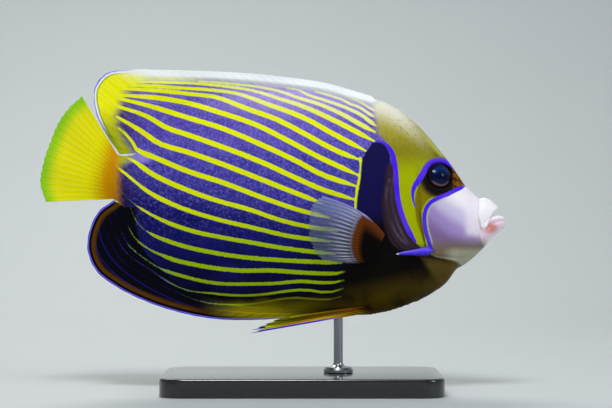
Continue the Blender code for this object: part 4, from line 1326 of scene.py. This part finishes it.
def makeTeeth(material):
    # short bristle-like pegs in one row a lip
    points, faces = [], []
    sides, levels = teeth["sides"], teeth["levels"]
    for edge, reach, upwards in (
        (lips["upperBottom"], teeth["upperReach"], -1), (lips["lowerTop"], teeth["lowerReach"], 1),
    ):
        for k in range(teeth["count"]):
            turn = math.radians(teeth["spread"]) * (2 * k / (teeth["count"] - 1) - 1)
            x = lips["back"] + reach * math.cos(turn)
            y = lips["halfWidth"]["lower"] * 0.92 * math.sin(turn)
            foot = float(profile(edge, x)) - upwards * 0.7
            length = teeth["length"] + 0.12 * rng.standard_normal()
            first = len(points)
            for level in range(levels):
                t = level / (levels - 1)
                radius = teeth["radius"] * (1 - t**3) + teeth["tipRadius"]
                for s in range(sides):
                    a = 2 * math.pi * s / sides
                    lean = teeth["lean"] * t * t + radius * math.cos(a)
                    points.append((x + lean, y + radius * math.sin(a), foot + upwards * length * t))
            for level in range(levels - 1):
                for s in range(sides):
                    a = first + level * sides + s
                    b = first + level * sides + (s + 1) % sides
                    faces.append((a, b, b + sides, a + sides))
            for start, turned in ((first, 1), (first + (levels - 1) * sides, -1)):
                ring = [start + s for s in range(sides)][::turned]
                faces += [(ring[0], ring[s], ring[s + 1], ring[s + 1]) for s in range(1, sides - 1)]
    quads = [f for f in faces if f[2] != f[3]]
    caps = [f[:3] for f in faces if f[2] == f[3]]
    mesh = bpy.data.meshes.new("teeth")
    mesh.from_pydata([tuple(c * mm for c in p) for p in points], [], quads + caps)
    mesh.shade_smooth()
    mesh.materials.append(material)
    piece = outwards(link(bpy.data.objects.new("teeth", mesh)))
    return wear(piece, "lip_skin")


# Eyes

eyes = {"radius": 7.4, "halfDepth": 5.0, "bulge": 2.0, "rings": 60, "segments": 96}


def onFlank(x, z, side):
    # the body's surface at a side-view place, and the way out of the body there
    step = 0.5
    y, ahead, behind, above, below = halfWidth(
        np.array([x, x + step, x - step, x, x]), np.array([z, z, z, z + step, z - step])
    )
    return Vector((x, side * y, z)), Vector((behind - ahead, side * 2 * step, below - above)).normalized()


def makeEye(side, sideName, material):
    surface, out = onFlank(*head["eye"], side)
    centre = surface + out * (eyes["bulge"] - eyes["halfDepth"])
    turn = out.to_track_quat("Z", "Y").to_matrix()
    a = np.linspace(0, math.pi, eyes["rings"])[:, None]
    b = np.linspace(0, 2 * math.pi, eyes["segments"], endpoint=False)[None]
    radial = eyes["radius"] * np.sin(a)
    deep = eyes["halfDepth"] * np.cos(a)
    # the cornea bulges a little more over the pupil
    deep = deep + 0.5 * np.exp(-((radial / 3.6) ** 2)) * (np.cos(a) > 0)
    local = np.stack([radial * np.cos(b), radial * np.sin(b), deep + 0 * b], axis=-1).reshape(-1, 3)
    points = local @ np.array(turn).T + np.array(centre)
    faces = roundFaces(eyes["rings"], eyes["segments"])
    fields = {"out": np.linalg.norm(local[:, :2], axis=1), "up": points[:, 2] - centre[2]}
    piece = outwards(meshPiece("eye_" + sideName, points, faces, material, fields))
    wear(piece, "eye_lens", "eye_" + sideName)


# Cheek spines

cheekSpine = {
    "root": (85, 76), "tip": (66, 74.5), "radius": 1.5, "depth": 2.3, "sections": 60, "sides": 28,
    "rise": 2.2,
}


def makeCheekSpine(side, sideName, material):
    (x0, z0), (x1, z1) = cheekSpine["root"], cheekSpine["tip"]
    start = halfWidth(np.array(x0), np.array(z0)) + 0.2
    end = halfWidth(np.array(x1), np.array(z1)) + cheekSpine["rise"]
    t = np.linspace(-0.06, 1, cheekSpine["sections"])[:, None]
    a = np.linspace(0, 2 * math.pi, cheekSpine["sides"], endpoint=False)[None]
    clipped = np.clip(t, 0, 1)
    taper = (1 - clipped) ** 0.6 * (1 + 0.03 * np.cos(a * 9) * (1 - clipped))
    taper = taper * (0.25 + 0.75 * ease(0, 0.14, t) ** 0.6)
    radius = cheekSpine["radius"] * taper + 0.1 - 0.09 * ease(0.985, 1, t)
    depth = cheekSpine["depth"] * taper + 0.1 - 0.09 * ease(0.985, 1, t)
    x = x0 + (x1 - x0) * t + 0 * a
    y = side * (start + (end - start) * t + 1.1 * np.sin(math.pi * clipped) + radius * np.sin(a))
    z = z0 + (z1 - z0) * t + depth * np.cos(a)
    points = np.stack([x, y, z], axis=-1).reshape(-1, 3)
    faces = roundFaces(cheekSpine["sections"], cheekSpine["sides"])
    fields = {"span": (clipped + 0 * a).ravel(), "level": (np.cos(a) + 0 * t).ravel()}
    piece = outwards(meshPiece("cheekSpine_" + sideName, points, faces, material, fields))
    wear(piece, "spine_bone", "cheek_spine_" + sideName)


# Stand

stand = {
    "centreX": 16, "length": 150, "width": 86, "height": 10, "corner": 12, "bevel": 1.5,
    "rodX": 35.5, "rodRadius": 2.5, "rodTop": 49, "collarRadius": 8, "collarHeight": 3, "turns": 64,
}


def makeStand(lacquer, steel):
    outline, steps = [], 16
    for corner, (sx, sy) in enumerate([(1, 1), (-1, 1), (-1, -1), (1, -1)]):
        for k in range(steps + 1):
            a = math.pi / 2 * (corner + k / steps)
            x = sx * (stand["length"] / 2 - stand["corner"]) + stand["corner"] * math.cos(a)
            y = sy * (stand["width"] / 2 - stand["corner"]) + stand["corner"] * math.sin(a)
            outline.append((x, y))
    outline = np.array(outline)
    away = outline / np.linalg.norm(outline, axis=1, keepdims=True)
    levels = [(0.6, 0.0), (0.0, 0.6)]
    for k in range(7):
        a = math.pi / 2 * k / 6
        down = stand["bevel"] * (1 - math.sin(a))
        levels.append((stand["bevel"] * (1 - math.cos(a)), stand["height"] - down))
    rings = []
    for inset, z in levels:
        ring = outline - away * inset
        rings.append(np.column_stack([ring[:, 0] + stand["centreX"], ring[:, 1], np.full(len(ring), z)]))
    wear(ringSolid("standBase", rings, lacquer, 30), "black_lacquer", "stand_base")

    foot = stand["height"] + 0.15
    top = foot + stand["collarHeight"]
    r, rod = stand["collarRadius"], stand["rodRadius"]
    line = [
        (r - 0.3, foot), (r, foot + 0.3), (r, foot + 1.6), (r - 0.25, foot + 1.9), (r - 1, top),
        (rod + 1.4, top + 0.5), (rod + 0.5, top + 1.1), (rod + 0.1, top + 1.9), (rod, top + 2.4),
        (rod, stand["rodTop"] + 0.2),
    ]
    a = np.linspace(0, 2 * math.pi, stand["turns"], endpoint=False)
    rings = [
        np.column_stack([
            stand["rodX"] + radius * np.cos(a), radius * np.sin(a), z + 0 * a,
        ]) for radius, z in line
    ]
    wear(ringSolid("standRod", rings, steel, 28), "polished_steel", "stand_rod")


# Scales

scales = {
    "bodyPitch": (1.5, 1.25),  # along the body and round it
    "headPitch": (1.15, 1.0),
    "finPitch": (1.45, 1.3),
    "rise": 0.17,
    "sink": 0.22,
    "outline": [  # share of the length and of the width, from the root round to the free edge
        (0.0, 0.0), (0.12, 0.32), (0.42, 0.5), (0.74, 0.44), (0.93, 0.26), (1.0, 0.0),
        (0.93, -0.26), (0.74, -0.44), (0.42, -0.5), (0.12, -0.32),
    ],
    "gillLine": [
        (57, 160), (61, 141), (63, 125), (60, 112), (59.8, 100), (62.3, 88), (68, 78.6), (76.5, 72.3),
        (90, 68), (101, 60),
    ],
    "piecesSplit": 6600,
    "wrap": (262, 312, 14.5),  # the unwrapped skin: its length, its way round, the room kept for the fins
}


def makeScales(name, roots, normals, rears, lengths, widths, proud, wrap, more, material, slot):
    # roots, outward normals and rearward directions of every scale, in millimetres
    count = len(roots)
    outline = np.array(scales["outline"])
    ring = len(outline)
    rears = rears - normals * np.sum(rears * normals, axis=1, keepdims=True)
    rears /= np.linalg.norm(rears, axis=1, keepdims=True)
    sides = np.cross(normals, rears)
    along, acrossShare = outline[:, 0], outline[:, 1]
    reach = lengths[:, None] * along[None]
    breadth = widths[:, None] * acrossShare[None]
    # the free edge stands proud of the next scale, the root dips under the one before
    lift = (scales["rise"] * along[None] ** 0.8 - 0.05) * proud[:, None] - 0.004
    dome = 0.05 * (1 - (2 * acrossShare[None]) ** 2) * proud[:, None]
    edge = roots[:, None] + rears[:, None] * reach[..., None] + sides[:, None] * breadth[..., None]
    edge = edge + normals[:, None] * (lift + dome)[..., None]
    crown = (scales["rise"] * 0.62 + 0.05) * proud
    crown = roots + rears * (lengths * 0.6)[:, None] + normals * crown[:, None]
    # the keel stays inside a thin fin
    sink = np.minimum(scales["sink"], 0.6 * np.abs(roots[:, 1]))
    keel = roots + rears * (lengths * 0.45)[:, None] - normals * sink[:, None]
    points = np.concatenate([edge, crown[:, None], keel[:, None]], axis=1)
    faces = []
    for k in range(ring):
        n = (k + 1) % ring
        faces += [(k, n, ring), (n, k, ring + 1)]
    faces = (np.array(faces)[None] + (np.arange(count) * (ring + 2))[:, None, None]).reshape(-1, 3)
    flatPoints = points.reshape(-1, 3)
    fields = painted(flatPoints[:, 0], flatPoints[:, 2])
    for key, values in more.items():
        fields[key] = np.repeat(values, ring + 2)
    fields["tone"] = np.repeat(np.clip(0.5 * rng.standard_normal(count), -1, 1), ring + 2)
    # 0 at a scale's root to 1 at its free edge; the paint darkens the free edge as painted shade between the
    # scales
    fields["rimShade"] = np.tile(np.concatenate([along, [0.3, 0.0]]), count)
    piece = meshPiece(name, flatPoints, faces, material, fields)
    # a crisp rim, so that each scale shades as a disc
    ends = np.zeros(2 * len(piece.data.edges), np.int32)
    piece.data.edges.foreach_get("vertices", ends)
    crisp = np.all(ends.reshape(-1, 2) % (ring + 2) < ring, axis=1)
    sharp = piece.data.attributes.new("sharp_edge", "BOOLEAN", "EDGE")
    sharp.data.foreach_set("value", crisp)
    # a small patch of the unwrapped skin for each scale
    local = np.concatenate([outline, [(0.6, 0.0)], [(0.45, 0.0)]])
    uv = wrap[:, None] + (local[None] - (0.5, 0.0)) * 0.0028
    uv = uv.reshape(-1, 2)
    layer = piece.data.uv_layers.new(name="OFBake")
    corners = np.zeros(len(piece.data.loops), np.int32)
    piece.data.loops.foreach_get("vertex_index", corners)
    layer.data.foreach_set("uv", uv[corners].astype(np.float32).ravel())
    return wear(piece, slot)


def sections(x):
    # a fine cross section at one place: levels, half widths and the way round from the back
    top, bottom = float(profile(body["top"], x)), float(profile(body["bottom"], x))
    t = np.linspace(0, math.pi, 500)
    z = (top + bottom) / 2 + (top - bottom) / 2 * np.cos(t)
    half = skinWidth(np.full(z.shape, float(x)), z)
    return z, half, np.concatenate([[0], np.cumsum(np.hypot(np.diff(z), np.diff(half)))])


def bodyScales(pitch, start, end, keep):
    # staggered upright files of scales from start back to end
    found = []
    places = np.arange(start, end, -pitch[0] / 2)
    for file, x in enumerate(places):
        z, half, way = sections(x)
        middle = way[np.argmin(np.abs(z - (0.44 * z[0] + 0.56 * z[-1])))]
        first = (middle + pitch[1] * (0.5 if file % 2 else 0)) % pitch[1]
        at = np.arange(first, way[-1], pitch[1])
        at = at[(at > 0.4) & (at < way[-1] - 0.4)]
        zs, hs = np.interp(at, way, z), np.interp(at, way, half)
        found.append(np.column_stack([np.full(len(at), x), hs, zs, at]))
    found = np.concatenate(found)
    found = found[keep(found[:, 0], found[:, 2])]
    rears = np.tile([-1.0, 0.0, 0.0], (len(found), 1))
    return found, surfaceNormals(found[:, 0], found[:, 2]), rears


def surfaceNormals(x, z):
    step = 0.3
    dx = (skinWidth(x + step, z) - skinWidth(x - step, z)) / (2 * step)
    dz = (skinWidth(x, z + step) - skinWidth(x, z - step)) / (2 * step)
    normal = np.stack([-dx, np.ones_like(dx), -dz], axis=-1)
    return normal / np.linalg.norm(normal, axis=1, keepdims=True)


def coatPieces(name, roots, normals, rears, sizes, proud, around, slot, more=None):
    # both flanks, in pieces of a few thousand scales; around is the way round from the back
    span, girth, room = scales["wrap"]
    order = np.argsort(roots[:, 0])
    pieces = max(1, math.ceil(len(roots) / scales["piecesSplit"]))
    for sideName, side in (("right", -1), ("left", 1)):
        flip = np.array([1, side, 1])
        across = 0.5 + side * (0.004 + (room + around) / girth)
        wrap = np.column_stack([(roots[:, 0] + span / 2) / span, across])
        wrap = np.clip(wrap, 0.003, 0.997)
        for number, part in enumerate(np.array_split(order, pieces), 1):
            label = f"{name}_{sideName}" + (f"_{number}" if pieces > 1 else "")
            extra = {key: values[part] for key, values in (more or {}).items()}
            makeScales(
                label, (roots * flip)[part], (normals * flip)[part], (rears * flip)[part],
                sizes[part, 0], sizes[part, 1], proud[part], wrap[part], extra, skinMaterial, slot,
            )
    print(name, "on each side:", len(roots))


def scaleSizes(count, length, width):
    return np.array([[length, width]]) * (1 + 0.06 * rng.standard_normal(count))[:, None]


def finCoat(name, slot):
    # scales creep up the base of a fin, smaller and flatter towards their ragged limit
    spec, shape = fins[name], finShapes[name]
    pitch = scales["finPitch"]
    root, tip, length = shape["root"], shape["tip"], shape["length"]
    way = (tip - root) / length[:, None]
    share = np.linspace(*spec["scaled"], len(root))
    found = []
    for file, far in enumerate(np.arange(0.1, 0.95 * scales["wrap"][2], pitch[0] / 2)):
        line = root + way * far
        walk = chords(line)
        at = np.arange(pitch[1] * (0.5 if file % 2 else 0) + 0.4, walk[-1] - 0.4, pitch[1])
        index = np.interp(at, walk, np.arange(len(root)))
        limit = np.interp(index, np.arange(len(root)), share * length) + 0.9 * rng.standard_normal(len(at))
        index, limit = index[far < limit], limit[far < limit]
        if not len(index):
            continue
        i = index.astype(int)
        level = far / length[i]
        half = np.array([np.interp(
            [l, l + 0.02], shape["at"][k], shape["half"][k],
        ) for k, l in zip(i, level)])
        slope = (half[:, 1] - half[:, 0]) / (0.02 * length[i])
        for k in range(len(i)):
            spot = line[i[k]] + (line[min(i[k] + 1, len(root) - 1)] - line[i[k]]) * (index[k] - i[k])
            sway = np.interp(level[k], shape["at"][i[k]], shape["sway"][i[k]])
            proud = min(1, (limit[k] - far) / 3)
            found.append((*spot, half[k, 0], sway, *way[i[k]], slope[k], level[k], far, proud))
    found = np.array(found)
    fields = painted(found[:, 0], found[:, 1])
    fromRim = np.minimum(fields["dorsalRim"], fields["analRim"] - 0.6)
    found, fromRim = found[fromRim > 5.4], fromRim[fromRim > 5.4]
    x, z, half, sway, wayX, wayZ, slope, level, far, proud = found.T
    proud = proud * ease(5, 9, fromRim)
    rears = np.column_stack([wayX, 0 * x, wayZ])
    normals = np.column_stack([-slope * wayX, np.ones_like(x), -slope * wayZ])
    normals /= np.linalg.norm(normals, axis=1, keepdims=True)
    if name == "dorsal":
        around = -far
    elif name == "anal":
        places = np.arange(-84, 60, 2.0)
        around = np.interp(x, places, [sections(place)[2][-1] for place in places]) + far
    else:
        around = 128 - z
    roots = np.column_stack([x, np.maximum(half, skinWidth(x, z) * (far < 0.5)) - 0.02, z])
    sizes = scaleSizes(len(x), pitch[0] * 1.4, pitch[1] * 1.2) * (0.4 + 0.6 * proud[:, None])
    coatPieces(
        name + "Scales", roots, normals, rears, sizes, proud * 0.5, around, slot,
        {name + "Fin": level + 0.01},
    )


def makeCoat():
    def onTorso(x, z):
        return x < gillX(z)

    found, normals, rears = bodyScales(scales["bodyPitch"], 100, -84, onTorso)
    sizes = scaleSizes(len(found), 2.05, 1.35)
    coatPieces(
        "flankScales", found[:, :3], normals, rears, sizes, np.ones(len(found)), found[:, 3], "flank_skin",
    )

    def onHead(x, z):
        fromEye = np.hypot(x - head["eye"][0], z - head["eye"][1])
        fields = painted(x, z)
        clear = (fromEye > 10) & (fields["cheekInner"] > 0.5)
        bare = (x > 104) | ((fields["eyeDistance"] < 17) & (x > 93) & (z < 124) & (z > 106))
        return (x >= gillX(z)) & clear & ~bare & (z > 50)

    found, normals, rears = bodyScales(scales["headPitch"], 104, 44, onHead)
    # they grow smaller and flatter towards the snout, and stop raggedly
    proud = ease(106, 84, found[:, 0])
    stay = rng.random(len(found)) < 1.4 * proud + 0.1
    found, normals, rears, proud = found[stay], normals[stay], rears[stay], proud[stay]
    sizes = scaleSizes(len(found), 1.5, 1.05) * (0.35 + 0.65 * proud[:, None])
    coatPieces("headScales", found[:, :3], normals, rears, sizes, proud, found[:, 3], "head_skin")
    finCoat("dorsal", "dorsal_skin")
    finCoat("anal", "anal_skin")
    finCoat("caudal", "tail_skin")


def gillX(z):
    # the gill opening's place at each level
    line = curve(scales["gillLine"], 60)
    return np.interp(z, line[::-1, 1], line[::-1, 0])


# The whole model

makeStudio()
raster = makeRaster()
print("studio and markings made")
skinMaterial = skinPaint()
makeSkin(skinMaterial)
print("skin made")
backFins = (
    ("dorsal", onBack, "dorsal_skin"), ("anal", onBelly, "anal_skin"), ("caudal", onTail, "tail_skin"),
)
for name, seat, slot in backFins:
    piece = medianFin(name, seat, skinMaterial, slot, name + "_fin")
    span = np.zeros(len(piece.data.vertices), np.float32)
    piece.data.attributes["span"].data.foreach_get("value", span)
    layer = piece.data.attributes.new(name + "Fin", "FLOAT", "POINT")
    layer.data.foreach_set("value", span + 0.01)
clearFin, bladePaint = pectoralPaint(), pelvicPaint()
eyeMaterial, hornMaterial = eyePaint(), spinePaint()
for sideName, side in (("right", -1), ("left", 1)):
    pectoralFin(side, sideName, clearFin)
    pelvicFin(side, sideName, bladePaint)
    makeEye(side, sideName, eyeMaterial)
    makeCheekSpine(side, sideName, hornMaterial)
print("fins, eyes and spines made")
makeLips(lipPaint())
makeTeeth(toothPaint())
makeStand(lacquerPaint(), steelPaint())
makeCoat()
print("scales made")
